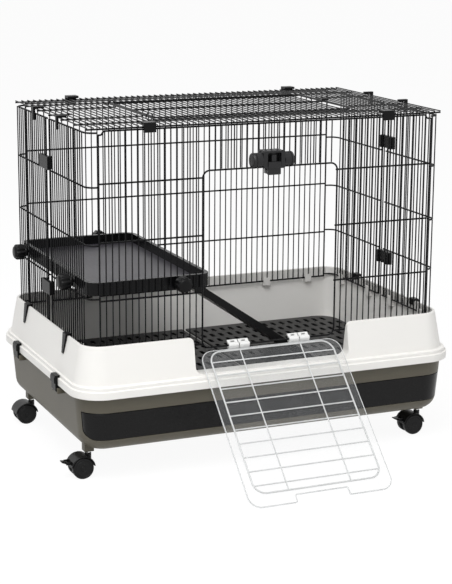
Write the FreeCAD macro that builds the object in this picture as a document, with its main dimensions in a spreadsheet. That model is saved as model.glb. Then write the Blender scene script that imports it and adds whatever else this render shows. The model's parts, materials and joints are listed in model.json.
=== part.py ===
import FreeCAD, Part
import math
import os

import Sketcher

# Wire rabbit cage on a moulded tub and a wheeled base with a pull-out drawer.
# Millimetres. The origin is on the floor under the middle of the base, +Z is up and the front faces -Y.

Vector = FreeCAD.Vector
doc = FreeCAD.newDocument("rabbit_cage")
sheet = doc.addObject("Spreadsheet::Sheet", "sizes")

SIZES = (
    # Casters
    ("caster_x", 363.0), ("caster_y", 187.0), ("caster_height", 51.0), ("caster_trail", 15.0),
    ("wheel_radius", 21.0), ("wheel_width", 12.0), ("wheel_cap", 2.0), ("wheel_side_gap", 0.4),
    ("axle_radius", 2.5), ("web_width", 13.0), ("web_radius", 17.0), ("hood_gap", 1.4), ("hood_wall", 2.2),
    ("socket_floor", 14.0), ("swivel_gap", 4.0), ("stem_radius", 4.0), ("stem_floor", 22.0),
    ("stem_depth", 14.0), ("running_fit", 0.05), ("seat_gap", 0.3), ("lever_length", 11.0),
    ("lever_width", 13.0), ("lever_thickness", 4.0), ("lever_barrel", 3.0), ("lever_bar_radius", 1.4),
    ("lever_reach", 29.0), ("lever_rise", 11.0), ("lever_ear", 3.0), ("lever_ear_root", 20.9),
    # Base and drawer
    ("base_length", 794.0), ("base_width", 522.0), ("base_top", 185.0), ("base_bottom", 64.0),
    ("base_draft", 5.0), ("base_corner", 58.0), ("base_round", 31.0), ("base_wall", 3.0),
    ("base_foot_cut", 18.0), ("base_flange", 5.5), ("base_flange_thickness", 3.0), ("boss_width", 19.0),
    ("window_length", 768.0), ("window_low", 88.0), ("window_high", 143.0), ("window_corner", 22.0),
    ("window_depth", 70.0), ("drawer_gap", 1.0), ("drawer_front", 4.0), ("tray_length", 704.0),
    ("tray_back", 243.0), ("tray_wall", 2.5), ("tray_corner", 18.0), ("tray_floor", 3.0),
    ("tray_lip", 4.0), ("runner_x", 300.0), ("runner_width", 12.0), ("runner_length", 400.0),
    # Tub
    ("rim_length", 813.0), ("rim_width", 540.0), ("rim_corner", 62.0), ("rim_low", 173.0),
    ("rim_step", 188.0), ("rim_top", 195.0), ("rim_band", 4.5), ("tub_top", 269.0),
    ("tub_length", 768.0), ("tub_width", 482.0), ("tub_draft", 10.7), ("tub_corner", 41.0),
    ("tub_wall", 3.0), ("tub_land", 5.0), ("basin_draft", 8.5), ("ledge_top", 155.0),
    ("ledge_width", 22.0), ("ledge_thickness", 3.5), ("bar_width", 24.0), ("bar_depth", 12.0),
    ("doorway_length", 330.0), ("doorway_low", 199.0), ("doorway_corner", 14.0), ("doorway_lip", 9.0),
    ("lug_width", 15.0), ("lug_thickness", 2.5), ("lug_low", 240.0), ("lug_rise", 8.0),
    ("lug_near_x", 203.0), ("lug_far_x", 307.0), ("lug_near_y", 50.0), ("lug_far_y", 178.0),
    # Floor grates
    ("grate_thickness", 5.0), ("grate_gap", 1.5), ("grate_parting", 4.0), ("grate_border", 14.0),
    ("grate_slot_width", 9.0), ("grate_slot_length", 64.0), ("grate_bar", 32.0), ("grate_rib", 17.0),
    ("grate_corner", 46.0),
    # Wire panels
    ("thin_wire", 1.25), ("thick_wire", 1.75), ("weld_gap", 0.02), ("wire_pitch", 13.0),
    ("panel_length", 748.0), ("panel_width", 458.0), ("front_length", 699.0), ("corner_bend", 19.0),
    ("wire_bottom", 250.0), ("level_low", 353.0), ("level_mid", 464.0), ("level_high", 575.0),
    ("wire_top", 673.0), ("rail_jog", 7.0), ("jog_length", 12.0), ("jog_slope", 5.0),
    ("side_bottom", 254.5), ("side_low", 357.5), ("side_mid", 459.5), ("side_high", 569.0),
    ("side_top", 670.0), ("seam_gap", 24.0),
    ("doorway_frame_length", 284.0), ("doorway_frame_low", 243.0), ("doorway_frame_high", 589.0),
    ("doorway_frame_bend", 14.0),
    # Top panel and its door
    ("roof_rail_y", 153.0), ("roof_rail_pitch", 76.0), ("roof_stub", 48.0), ("hatch_left", -200.0),
    ("hatch_right", 225.0), ("hatch_width", 260.0), ("hatch_gap", 7.0), ("hatch_bend", 14.0),
    ("ring_radius", 6.9), ("ring_y", 108.0), ("tongue_lap", 4.0),
    # Front door
    ("door_length", 300.0), ("door_height", 349.0), ("door_start", 6.0), ("door_corner", 25.0),
    ("door_plate", 3.0), ("door_stand_off", 3.2), ("door_rib_width", 3.0), ("door_rib_height", 2.2),
    ("door_margin", 18.0), ("door_foot_margin", 26.0), ("door_rib_first", 26.0), ("door_rib_pitch", 30.1),
    ("door_rib_x", 65.0), ("door_notch_length", 108.0), ("door_notch_depth", 16.0),
    ("hinge_clip_width", 21.0), ("hinge_clip_pitch", 23.0), ("hinge_clip_radius", 4.4),
    ("hinge_clip_tail", 14.0), ("hinge_clip_leaf", 2.0), ("hinge_clip_hold", 12.0),
    # Door latch
    ("latch_length", 84.0), ("latch_barrel", 15.0), ("latch_flange", 16.5), ("latch_flange_width", 6.0),
    ("latch_x", -7.0), ("latch_z", 605.0), ("latch_block_length", 46.0), ("latch_block_top", 624.0),
    ("latch_block_depth", 29.0),
    ("slide_width", 27.0), ("slide_low", 578.0), ("slide_high", 608.0), ("slide_thickness", 6.0),
    ("slide_foot", 10.0), ("slide_gap", 0.4), ("thumb_radius", 9.0), ("thumb_depth", 2.0),
    # Shelf, knobs and ramp
    ("shelf_left", -369.0), ("shelf_right", -119.0), ("shelf_width", 442.0), ("shelf_bottom", 363.0),
    ("shelf_height", 25.0), ("shelf_rim", 8.0), ("shelf_floor", 6.0), ("shelf_corner", 24.0),
    ("knob_radius", 16.0), ("knob_length", 19.0), ("knob_collar", 11.0), ("knob_collar_length", 5.0),
    ("knob_flute", 1.8), ("knob_dome", 3.0), ("stud_radius", 3.0), ("knob_z", 376.0),
    ("ramp_front", -150.0), ("ramp_back", 40.0), ("ramp_thickness", 14.0),
    ("ramp_deck", 8.0), ("ramp_rail", 6.0), ("ramp_angle", 34.3), ("ramp_bar_x", -116.0),
    ("ramp_bar_z", 342.0), ("ramp_bar_radius", 3.0), ("ramp_ear", 8.0), ("ramp_ear_width", 22.0),
    ("cleat_pitch", 30.0), ("cleat_width", 6.0), ("cleat_height", 3.0), ("ramp_side_gap", 1.0),
    # Clips and catches
    ("catch_y", 128.0), ("catch_width", 26.0), ("catch_bar_z", 163.0), ("catch_bar_out", 7.0),
    ("catch_bar_radius", 2.0), ("catch_ear_root", 6.0), ("catch_barrel", 5.5), ("catch_arm", 5.0),
    ("catch_hook", 5.0), ("catch_head", 16.0), ("catch_bulge", 2.5), ("catch_heel", 3.0), ("catch_ear", 4.0),
    ("cage_clip_y", 128.0), ("cage_clip_width", 20.0), ("cage_clip_tip", 10.0), ("cage_clip_length", 36.0),
    ("cage_clip_thickness", 4.0), ("cage_clip_leg", 9.0), ("cage_clip_leg_thickness", 2.0),
    ("top_clip_x", 250.0), ("top_clip_width", 24.0), ("top_clip_drop", 14.0), ("top_clip_reach", 16.0),
    ("top_clip_wall", 5.0), ("side_clip_y", 75.0), ("side_clip_width", 8.0), ("side_clip_drop", 22.0),
    ("seam_clip_high", 587.0), ("seam_clip_low", 337.0), ("seam_clip_width", 52.0),
    ("seam_clip_height", 26.0), ("seam_clip_thickness", 8.0), ("seam_clip_finger", 6.0),
    ("seam_clip_reach", 5.0),
)


class Size:
    """A length that knows its value and the sheet expression that it comes from."""

    def __init__(self, text, value):
        self.text = text
        self.value = value

    def __float__(self):
        return float(self.value)

    def _with(self, sign, other, value, turned=False):
        other_text = other.text if isinstance(other, Size) else f"{other:.9g}"
        first, second = (other_text, self.text) if turned else (self.text, other_text)
        return Size(f"({first} {sign} {second})", value)

    def __add__(self, other):
        return self._with("+", other, self.value + float(other))

    def __radd__(self, other):
        return self._with("+", other, self.value + float(other), True)

    def __sub__(self, other):
        return self._with("-", other, self.value - float(other))

    def __rsub__(self, other):
        return self._with("-", other, float(other) - self.value, True)

    def __mul__(self, other):
        return self._with("*", other, self.value * float(other))

    def __rmul__(self, other):
        return self._with("*", other, self.value * float(other), True)

    def __truediv__(self, other):
        return self._with("/", other, self.value / float(other))

    def __neg__(self):
        return Size(f"(-{self.text})", -self.value)


class Named:
    """The sheet's sizes by name."""


S = Named()
for row, (alias, number) in enumerate(SIZES, start=1):
    sheet.set(f"A{row}", alias.replace("_", " "))
    sheet.set(f"B{row}", str(number))
    sheet.setAlias(f"B{row}", alias)
doc.recompute()
for alias, number in SIZES:
    setattr(S, alias, Size(f"sizes.{alias}", float(sheet.get(alias))))


def tan(angle):
    return Size(f"tan({angle.text} * 1 deg)", math.tan(math.radians(float(angle))))


def sin(angle):
    return Size(f"sin({angle.text} * 1 deg)", math.sin(math.radians(float(angle))))


def cos(angle):
    return Size(f"cos({angle.text} * 1 deg)", math.cos(math.radians(float(angle))))


# Building blocks

ALONG = {
    "X": FreeCAD.Rotation(Vector(0, 1, 0), 90),
    "Y": FreeCAD.Rotation(Vector(1, 0, 0), -90),
    "Z": FreeCAD.Rotation(),
}
FACING = {
    "XY": FreeCAD.Rotation(),
    "XZ": FreeCAD.Rotation(Vector(1, 0, 0), 90),
    "YZ": FreeCAD.Rotation(Vector(1, 1, 1), 120),
}
sub_parts = []


def bind(item, prop, value):
    """Set a property, and tie it to the sheet where the value comes from there."""
    if isinstance(value, Size):
        item.setExpression(prop, value.text)
    else:
        setattr(item, prop, value)


def place(item, x, y, z, rotation=None):
    item.Placement = FreeCAD.Placement(Vector(float(x), float(y), float(z)), rotation or FreeCAD.Rotation())
    for letter, value in zip("xyz", (x, y, z)):
        if isinstance(value, Size):
            item.setExpression(f"Placement.Base.{letter}", value.text)
    return item


def box(name, x, y, z):
    """A box from its low and high faces along each axis."""
    item = doc.addObject("Part::Box", name)
    for prop, (low, high) in zip(("Length", "Width", "Height"), (x, y, z)):
        bind(item, prop, high - low)
    return place(item, x[0], y[0], z[0])


def rod(name, axis, radius, start, length):
    item = doc.addObject("Part::Cylinder", name)
    bind(item, "Radius", radius)
    bind(item, "Height", length)
    return place(item, *start, ALONG[axis])


def join(name, *items):
    item = doc.addObject("Part::MultiFuse", name)
    item.Shapes = list(items)
    return item


def cut(name, body, *tools):
    item = doc.addObject("Part::Cut", name)
    item.Base = body
    item.Tool = tools[0] if len(tools) == 1 else join(f"{name}_tools", *tools)
    return item


def overlap(name, first, second):
    item = doc.addObject("Part::Common", name)
    item.Base = first
    item.Tool = second
    return item


def compound(name, items):
    item = doc.addObject("Part::Compound", name)
    item.Links = list(items)
    return item


def keep(name, item):
    """Name a finished sub-part, which is then written to a file of its own."""
    item.Label = name
    sub_parts.append(item)
    return item


def outline(body, name, points):
    """A closed sketch of straight lines whose corners are tied to the sheet."""
    sketch = body.newObject("Sketcher::SketchObject", name)
    ground = [feature for feature in body.Origin.OriginFeatures if feature.Role == "XY_Plane"][0]
    sketch.AttachmentSupport = [(ground, "")]
    sketch.MapMode = "FlatFace"
    corners = [Vector(float(x), float(y), 0) for x, y in points]
    count = len(corners)
    for index in range(count):
        sketch.addGeometry(Part.LineSegment(corners[index], corners[(index + 1) % count]), False)
    for index in range(count):
        sketch.addConstraint(Sketcher.Constraint("Coincident", index, 2, (index + 1) % count, 1))
    for index, point in enumerate(points):
        for kind, value in zip(("DistanceX", "DistanceY"), point):
            number = sketch.addConstraint(Sketcher.Constraint(kind, -1, 1, index, 1, float(value)))
            if isinstance(value, Size):
                sketch.renameConstraint(number, f"{kind}_{index}")
                sketch.setExpression(f"Constraints.{kind}_{index}", value.text)
    return sketch


def rounded(body, feature, name, size, chosen, kind="Fillet"):
    """Round or chamfer the edges of a feature that a test picks."""
    doc.recompute()
    edges = [f"Edge{index}" for index, edge in enumerate(feature.Shape.Edges, start=1) if chosen(edge)]
    eased = body.newObject(f"PartDesign::{kind}", name)
    eased.Base = (feature, edges)
    bind(eased, "Radius" if kind == "Fillet" else "Size", size)
    doc.recompute()
    return eased


def rises(edge):
    """True for an edge that climbs away from the sketch plane."""
    ends = [vertex.Z for vertex in edge.Vertexes]
    return max(ends) - min(ends) > 0.5


def at_height(height):
    def test(edge):
        return all(abs(vertex.Z - height) < 1e-4 for vertex in edge.Vertexes)
    return test


def at_corners(corners):
    """A test for the upright edges over the given corners of an outline."""
    spots = [(float(x), float(y)) for x, y in corners]

    def test(edge):
        middle = edge.CenterOfMass
        return rises(edge) and any(abs(middle.x - x) < 0.01 and abs(middle.y - y) < 0.01 for x, y in spots)
    return test


def prism(name, facing, start, length, points, rounds=()):
    """An outline padded along the axis that it faces. XZ outlines grow towards -Y from their start."""
    body = doc.addObject("PartDesign::Body", name)
    sketch = outline(body, f"{name}_outline", points)
    feature = body.newObject("PartDesign::Pad", f"{name}_pad")
    feature.Profile = sketch
    bind(feature, "Length", length)
    for number, (radius, corners) in enumerate(rounds):
        chosen = at_corners([points[corner] for corner in corners])
        feature = rounded(body, feature, f"{name}_round_{number}", radius, chosen)
    offset = {"XY": (0, 0, start), "XZ": (0, start, 0), "YZ": (start, 0, 0)}[facing]
    return place(body, *offset, FACING[facing])


def drafted(body, pad, name, angle, inward):
    """Lean the side walls of a pad about the face that lies in its sketch plane."""
    doc.recompute()
    walls = []
    for index, face in enumerate(pad.Shape.Faces, start=1):
        if abs(face.normalAt(0, 0).z) < 0.5:
            walls.append(f"Face{index}")
        elif abs(face.CenterOfMass.z) < 1e-6:
            level = f"Face{index}"
    lean = body.newObject("PartDesign::Draft", name)
    lean.Base = (pad, walls)
    lean.NeutralPlane = (pad, [level])
    lean.Reversed = inward
    bind(lean, "Angle", angle)
    return lean


def block(name, length, width, corner, level, height, lean_in=None, lean_out=None, foot=None, foot_cut=None):
    """A block with rounded corners, grown up from its level, or down if its height is negative.

    The walls can lean in or out on the way down, and the far edge can be rounded or cut at a slant.
    """
    body = doc.addObject("PartDesign::Body", name)
    half, depth = length / 2, width / 2
    sketch = outline(body, f"{name}_outline", ((-half, -depth), (half, -depth), (half, depth), (-half, depth)))
    feature = body.newObject("PartDesign::Pad", f"{name}_pad")
    feature.Profile = sketch
    feature.Reversed = float(height) < 0
    bind(feature, "Length", -height if feature.Reversed else height)
    feature = rounded(body, feature, f"{name}_corners", corner, rises)
    if lean_in is not None:
        feature = drafted(body, feature, f"{name}_lean", lean_in, True)
    if lean_out is not None:
        feature = drafted(body, feature, f"{name}_lean", lean_out, False)
    if foot is not None:
        feature = rounded(body, feature, f"{name}_foot", foot, at_height(float(height)))
    if foot_cut is not None:
        feature = rounded(body, feature, f"{name}_foot_cut", foot_cut, at_height(float(height)), "Chamfer")
    return place(body, 0, 0, level)


def polygon(middle, radius, sides, inset=None):
    """Corners of a regular outline about a middle point. An inset draws in every second corner."""
    corners = []
    for step in range(sides):
        angle = 2 * math.pi * (step + 0.5) / sides
        reach = radius - inset if inset is not None and step % 2 else radius
        corners.append((middle[0] + reach * math.cos(angle), middle[1] + reach * math.sin(angle)))
    return corners


def sided(name, axis, radius, start, length, sides):
    """A regular bar along an axis."""
    x, y, z = start
    if axis == "X":
        return prism(name, "YZ", x, length, polygon((y, z), radius, sides))
    if axis == "Y":
        return prism(name, "XZ", y + length, length, polygon((x, z), radius, sides))
    return prism(name, "XY", z, length, polygon((x, y), radius, sides))


PIN_SIDES = 16
BORE_SIDES = 12


def pin(name, axis, radius, start, length):
    return sided(name, axis, radius, start, length, PIN_SIDES)


def bore(name, axis, radius, start, length):
    """A hole whose flats just clear a pin of the given radius."""
    return sided(name, axis, radius / math.cos(math.pi / BORE_SIDES), start, length, BORE_SIDES)


# Wires

THIN_SIDES = 4
THICK_SIDES = 6
BEND_STEPS = 3


def curved(points, bend, closed=False):
    """The same run of points with each inner corner replaced by steps along a tangent bend."""
    spots = [Vector(*map(float, point)) for point in points]
    count = len(spots)
    run = []
    for index, here in enumerate(spots):
        if not closed and index in (0, count - 1):
            run.append(here)
            continue
        back = (spots[index - 1] - here).normalize()
        ahead = (spots[(index + 1) % count] - here).normalize()
        half = (math.pi - back.getAngle(ahead)) / 2
        middle = (back + ahead).normalize()
        side = (ahead - back).normalize()
        centre = here + middle * (float(bend) / math.cos(half))
        for step in range(BEND_STEPS + 1):
            angle = half * (2 * step / BEND_STEPS - 1)
            inward = middle * (float(bend) * math.cos(angle))
            run.append(centre - inward + side * (float(bend) * math.sin(angle)))
    return run


def wire(points, radius, normal, sides, closed=False, flat_inside=False):
    """A flat-sided wire along a run of points, mitred at each turn.

    One flat faces the normal of the plane that it bends in, or with flat_inside, the inside of the bend.
    """
    spots = [Vector(*map(float, point)) for point in points]
    count = len(spots)
    pairs = count if closed else count - 1
    normal = Vector(*normal)
    ways = [(spots[(index + 1) % count] - spots[index]).normalize() for index in range(pairs)]
    reach = float(radius) / math.cos(math.pi / sides)
    turn = 0 if flat_inside else 0.5
    rings = []
    for index, spot in enumerate(spots):
        before = ways[index - 1] if closed or index > 0 else ways[0]
        after = ways[index] if index < pairs else ways[-1]
        across = normal.cross(before) + normal.cross(after)
        across = across * (2 / across.dot(across))
        ring = []
        for step in range(sides):
            angle = 2 * math.pi * (step + turn) / sides
            ring.append(spot + normal * (reach * math.cos(angle)) + across * (reach * math.sin(angle)))
        rings.append(ring)
    faces = []
    for index in range(pairs):
        first, second = rings[index], rings[(index + 1) % count]
        for step in range(sides):
            following = (step + 1) % sides
            side = [first[step], first[following], second[following], second[step], first[step]]
            faces.append(Part.Face(Part.makePolygon(side)))
    if not closed:
        faces += [Part.Face(Part.makePolygon(ring + ring[:1])) for ring in (rings[0], rings[-1])]
    solid = Part.makeSolid(Part.makeShell(faces))
    if solid.Volume < 0:
        solid.reverse()
    return solid


def thin(start, end, normal):
    return wire((start, end), S.thin_wire, normal, THIN_SIDES)


def thick(start, end, normal):
    return wire((start, end), S.thick_wire, normal, THICK_SIDES)


def wires(name, shapes):
    item = doc.addObject("Part::Feature", name)
    item.Shape = Part.makeCompound(shapes)
    return keep(name, item)


def spread(low, high, pitch):
    """Evenly spaced places from low to high, about a pitch apart, both ends included."""
    low, high = float(low), float(high)
    count = max(1, round((high - low) / float(pitch)))
    return [low + (high - low) * index / count for index in range(count + 1)]


# Casters

WHEEL_SIDES = 24
SOCKET_SIDES = 12
HOOD_STEPS = 10
HOOD_END = math.radians(8)
WEB_STEPS = 8

wheel_axis_z = S.wheel_radius
hood_inner = S.wheel_radius + S.hood_gap
hood_outer = hood_inner + S.hood_wall
wheel_offset = S.web_width / 2 + S.wheel_side_gap
hood_half = wheel_offset + S.wheel_width + S.wheel_side_gap
bore_depth = S.wheel_width - S.wheel_cap
boss_bottom = S.caster_height
socket_top = boss_bottom - S.swivel_gap
lever_bar_z = wheel_axis_z + S.lever_rise


def arc(middle, radius, start, end, steps):
    """Points along an arc, both ends included."""
    angles = [start + (end - start) * step / steps for step in range(steps + 1)]
    return [(middle[0] + radius * math.cos(angle), middle[1] + radius * math.sin(angle)) for angle in angles]


def caster_yoke(name, x, y, braked):
    """Swivelling yoke: a web that carries the axle, a hood over the wheels and a socket for the stem."""
    axle_x = x - S.caster_trail
    axle = (axle_x, wheel_axis_z)
    over = arc(axle, hood_outer, HOOD_END, math.pi - HOOD_END, HOOD_STEPS)
    under = arc(axle, hood_inner, math.pi - HOOD_END, HOOD_END, HOOD_STEPS)
    hood = prism(f"{name}_hood", "XZ", y + hood_half, 2 * hood_half, over + under)
    crown = arc(axle, hood_inner + S.hood_wall / 2, HOOD_END, math.pi - HOOD_END, HOOD_STEPS)
    belly = arc(axle, S.web_radius, math.pi, 2 * math.pi, WEB_STEPS)
    web = prism(f"{name}_web", "XZ", y + S.web_width / 2, S.web_width, crown + belly)
    socket = prism(f"{name}_socket", "XY", S.socket_floor, socket_top - S.socket_floor,
                   polygon((x, y), S.web_width / 2, SOCKET_SIDES))
    axle_half = wheel_offset + bore_depth - S.seat_gap
    axle_pin = pin(f"{name}_axle", "Y", S.axle_radius, (axle_x, y - axle_half, wheel_axis_z), 2 * axle_half)
    stem_hole = bore(f"{name}_stem_hole", "Z", S.stem_radius + S.running_fit,
                     (x, y, S.stem_floor - S.seat_gap), boss_bottom - S.stem_floor)
    pieces = [hood, web, socket, axle_pin]
    if braked:
        bar_x = axle_x - S.lever_reach
        gap = S.lever_width / 2 + S.seat_gap
        for side, low in (("front", -gap - S.lever_ear), ("rear", gap)):
            pieces.append(box(f"{name}_{side}_ear", (bar_x - S.lever_barrel, axle_x - S.lever_ear_root),
                              (y + low, y + low + S.lever_ear),
                              (lever_bar_z - S.lever_barrel, lever_bar_z + S.lever_barrel)))
        pieces.append(pin(f"{name}_lever_bar", "Y", S.lever_bar_radius,
                          (bar_x, y - gap, lever_bar_z), 2 * gap))
    return keep(name, cut(f"{name}_finished", join(f"{name}_solid", *pieces), stem_hole))


def caster_wheel(name, x, low, inner_first):
    """Wheel with a closed outer face and a bore from its inner face."""
    tread = prism(f"{name}_tread", "XZ", low + S.wheel_width, S.wheel_width,
                  polygon((x, wheel_axis_z), S.wheel_radius / math.cos(math.pi / WHEEL_SIDES), WHEEL_SIDES))
    bore_low = low if inner_first else low + S.wheel_cap
    hole = bore(f"{name}_bore", "Y", S.axle_radius + S.running_fit, (x, bore_low, wheel_axis_z), bore_depth)
    return keep(name, cut(f"{name}_finished", tread, hole))


def caster_brake(name, x, y):
    """Foot lever that turns on the bar behind the hood."""
    bar_x = x - S.caster_trail - S.lever_reach
    low = y - S.lever_width / 2
    nose = arc((bar_x, lever_bar_z), S.lever_barrel - S.seat_gap, -math.pi / 2, math.pi / 2, 4)
    tip_x = bar_x - S.lever_length
    heel = (bar_x - S.lever_barrel + S.seat_gap, lever_bar_z - S.lever_barrel / 2)
    arm = prism(f"{name}_arm", "XZ", low + S.lever_width, S.lever_width, nose + [
        (tip_x, lever_bar_z + S.lever_thickness), (tip_x, lever_bar_z + S.lever_thickness / 2), heel])
    hole = bore(f"{name}_bore", "Y", S.lever_bar_radius + S.running_fit,
                (bar_x, low, lever_bar_z), S.lever_width)
    return keep(name, cut(f"{name}_finished", arm, hole))


stems = []
for depth, side_y in (("front", -1), ("rear", 1)):
    for hand_name, hand in (("left", -1), ("right", 1)):
        caster = f"caster_{depth}_{hand_name}"
        stem_x = hand * S.caster_x
        stem_y = side_y * S.caster_y
        axle_x = stem_x - S.caster_trail
        caster_yoke(f"{caster}_yoke", stem_x, stem_y, depth == "front")
        caster_wheel(f"{caster}_front_wheel", axle_x, stem_y - wheel_offset - S.wheel_width, False)
        caster_wheel(f"{caster}_rear_wheel", axle_x, stem_y + wheel_offset, True)
        if depth == "front":
            caster_brake(f"{caster}_brake", stem_x, stem_y)
        stems.append(pin(f"{caster}_stem", "Z", S.stem_radius, (stem_x, stem_y, S.stem_floor),
                         boss_bottom + S.stem_depth - S.stem_floor))
keep("caster_stems", compound("caster_stem_set", stems))


# Base

base_height = S.base_top - S.base_bottom
base_outer = block("base_outer", S.base_length, S.base_width, S.base_corner, S.base_top, -base_height,
                   lean_in=S.base_draft, foot=S.base_round)
base_inner = block("base_inner", S.base_length - 2 * S.base_wall, S.base_width - 2 * S.base_wall,
                   S.base_corner - S.base_wall, S.base_top, S.base_wall - base_height,
                   lean_in=S.base_draft, foot_cut=S.base_foot_cut)
flange_level = (S.base_top - S.base_flange_thickness, S.base_top)
flange_x = S.base_length / 2 - S.base_corner
flange_y = S.base_width / 2 - S.base_corner
flanges = []
for hand_name, hand in (("left", -1), ("right", 1)):
    edge = (S.base_length / 2 - S.base_wall / 2, S.base_length / 2 + S.base_flange)
    span = edge if hand > 0 else (-edge[1], -edge[0])
    flanges.append(box(f"{hand_name}_flange", span, (-flange_y, flange_y), flange_level))
for depth_name, depth in (("front", -1), ("rear", 1)):
    edge = (S.base_width / 2 - S.base_wall / 2, S.base_width / 2 + S.base_flange)
    span = edge if depth > 0 else (-edge[1], -edge[0])
    flanges.append(box(f"{depth_name}_flange", (-flange_x, flange_x), span, flange_level))
base_shell = join("base_shell", cut("base_hollow", base_outer, base_inner), *flanges)

front_low = -S.base_width / 2


def drawer_opening(name, gap):
    """The drawer's way through the front wall and round both corners, its ends leaning as the base does."""
    low = S.window_low + gap
    high = S.window_high - gap
    half = S.window_length / 2 - gap
    half_high = half + (high - low) * tan(S.base_draft)
    points = ((-half, low), (half, low), (half_high, high), (-half_high, high))
    return prism(name, "XZ", front_low + S.window_depth - gap, S.window_depth - gap, points,
                 ((S.window_corner - gap, (0, 1)),))


window = drawer_opening("window", 0 * S.drawer_gap)
tray_bottom = S.window_low + S.drawer_gap + S.seat_gap
tray_top = S.window_high - S.drawer_gap - S.tray_lip
runners = [
    box(f"runner_{number}", (place_x - S.runner_width / 2, place_x + S.runner_width / 2),
        (-S.runner_length / 2, S.runner_length / 2),
        (S.base_bottom + S.base_wall / 2, tray_bottom - S.seat_gap))
    for number, place_x in enumerate((-S.runner_x, -S.runner_x / 3, S.runner_x / 3, S.runner_x))]
bosses = []
boss_holes = []
for number, (side_x, side_y) in enumerate(((-1, -1), (1, -1), (-1, 1), (1, 1))):
    spot = (side_x * S.caster_x, side_y * S.caster_y)
    boss_high = boss_bottom + S.stem_depth + S.base_wall + S.base_round / 2
    bosses.append(box(f"boss_{number}", (spot[0] - S.boss_width / 2, spot[0] + S.boss_width / 2),
                      (spot[1] - S.boss_width / 2, spot[1] + S.boss_width / 2), (boss_bottom, boss_high)))
    boss_holes.append(bore(f"boss_hole_{number}", "Z", S.stem_radius + S.running_fit, (*spot, boss_bottom),
                           S.stem_depth + S.seat_gap))

catch_bar_x = S.base_length / 2 + S.catch_bar_out
catch_bars = []
for number, (side_x, side_y) in enumerate(((-1, -1), (1, -1), (-1, 1), (1, 1))):
    middle = side_y * S.catch_y
    inner_x = side_x * (S.base_length / 2 - S.catch_ear_root)
    outer_x = side_x * (catch_bar_x + S.catch_barrel)
    span_x = (inner_x, outer_x) if side_x > 0 else (outer_x, inner_x)
    gap = S.catch_width / 2 + S.seat_gap
    for end, low in (("a", -gap - S.catch_ear), ("b", gap)):
        catch_bars.append(box(f"catch_ear_{number}{end}", span_x, (middle + low, middle + low + S.catch_ear),
                              (S.catch_bar_z - S.catch_barrel, S.catch_bar_z + S.catch_barrel)))
    catch_bars.append(pin(f"catch_bar_{number}", "Y", S.catch_bar_radius,
                          (side_x * catch_bar_x, middle - gap, S.catch_bar_z), 2 * gap))
base_solid = join("base_solid", base_shell, *runners, *bosses, *catch_bars)
keep("base_tray", cut("base_finished", base_solid, window, *boss_holes))


# Drawer

front_region = drawer_opening("drawer_region", S.drawer_gap)
drawer_skin = block("drawer_skin", S.base_length, S.base_width, S.base_corner, S.base_top, -base_height,
                    lean_in=S.base_draft)
drawer_hollow = block("drawer_hollow", S.base_length - 2 * S.drawer_front, S.base_width - 2 * S.drawer_front,
                      S.base_corner - S.drawer_front, S.base_top, -base_height, lean_in=S.base_draft)
drawer_face = overlap("drawer_face", cut("drawer_front_shell", drawer_skin, drawer_hollow), front_region)
tray_front = front_low + (S.base_top - tray_bottom) * tan(S.base_draft) + S.drawer_front / 2
tray_width = S.tray_back - tray_front
tray_middle = (S.tray_back + tray_front) / 2
tray_outer = block("tray_outer", S.tray_length, tray_width, S.tray_corner, tray_bottom, tray_top - tray_bottom)
place(tray_outer, 0, tray_middle, tray_bottom)
tray_inner = block("tray_inner", S.tray_length - 2 * S.tray_wall, tray_width - 2 * S.tray_wall,
                   S.tray_corner - S.tray_wall, tray_bottom, tray_top - tray_bottom)
place(tray_inner, 0, tray_middle, tray_bottom + S.tray_floor)
tray_trim = overlap("tray_trim", cut("tray_shell", tray_outer, tray_inner),
                    block("tray_limit", S.base_length - S.drawer_front, S.base_width - S.drawer_front,
                          S.base_corner - S.drawer_front / 2, S.base_top, -base_height, lean_in=S.base_draft))
keep("drawer", join("drawer_finished", drawer_face, tray_trim))


# Wire cage: places that the tub, the shelf and the panels share

WIRE_CORNER = 1 / math.cos(math.pi / THICK_SIDES)

front_end = S.front_length / 2
frame_half = S.doorway_frame_length / 2
panel_half_x = S.panel_length / 2
panel_half_y = S.panel_width / 2
seam_half = S.seam_gap / 2
wire_tip = S.thick_wire / 2
wire_reach = S.thick_wire * WIRE_CORNER
rail_set = 2 * S.thick_wire + S.weld_gap
thin_set = S.thick_wire - S.thin_wire
rail_x = panel_half_x - rail_set
rail_y = panel_half_y - rail_set
thin_x = panel_half_x - thin_set
thin_y = panel_half_y - thin_set
side_run = rail_y - S.corner_bend - seam_half


def pitch_of(run):
    """The spacing nearest to the wire pitch that divides a run evenly."""
    return run / round(float(run) / float(S.wire_pitch))


upright_pitch = pitch_of(front_end - frame_half)
back_pitch = pitch_of(S.front_length)
side_pitch = pitch_of(side_run)


# Tub

basin_length = S.tub_length - 2 * S.tub_land
basin_width = S.tub_width - 2 * S.tub_land
basin_corner = S.tub_corner - S.tub_land
basin_depth = S.tub_top - S.ledge_top
floor_length = basin_length - 2 * basin_depth * tan(S.basin_draft)
floor_width = basin_width - 2 * basin_depth * tan(S.basin_draft)
wall_height = S.tub_top - S.rim_top
ledge_low = S.ledge_top - S.ledge_thickness
doorway_reach = S.tub_width / 4
LIP_STEPS = 4


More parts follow.
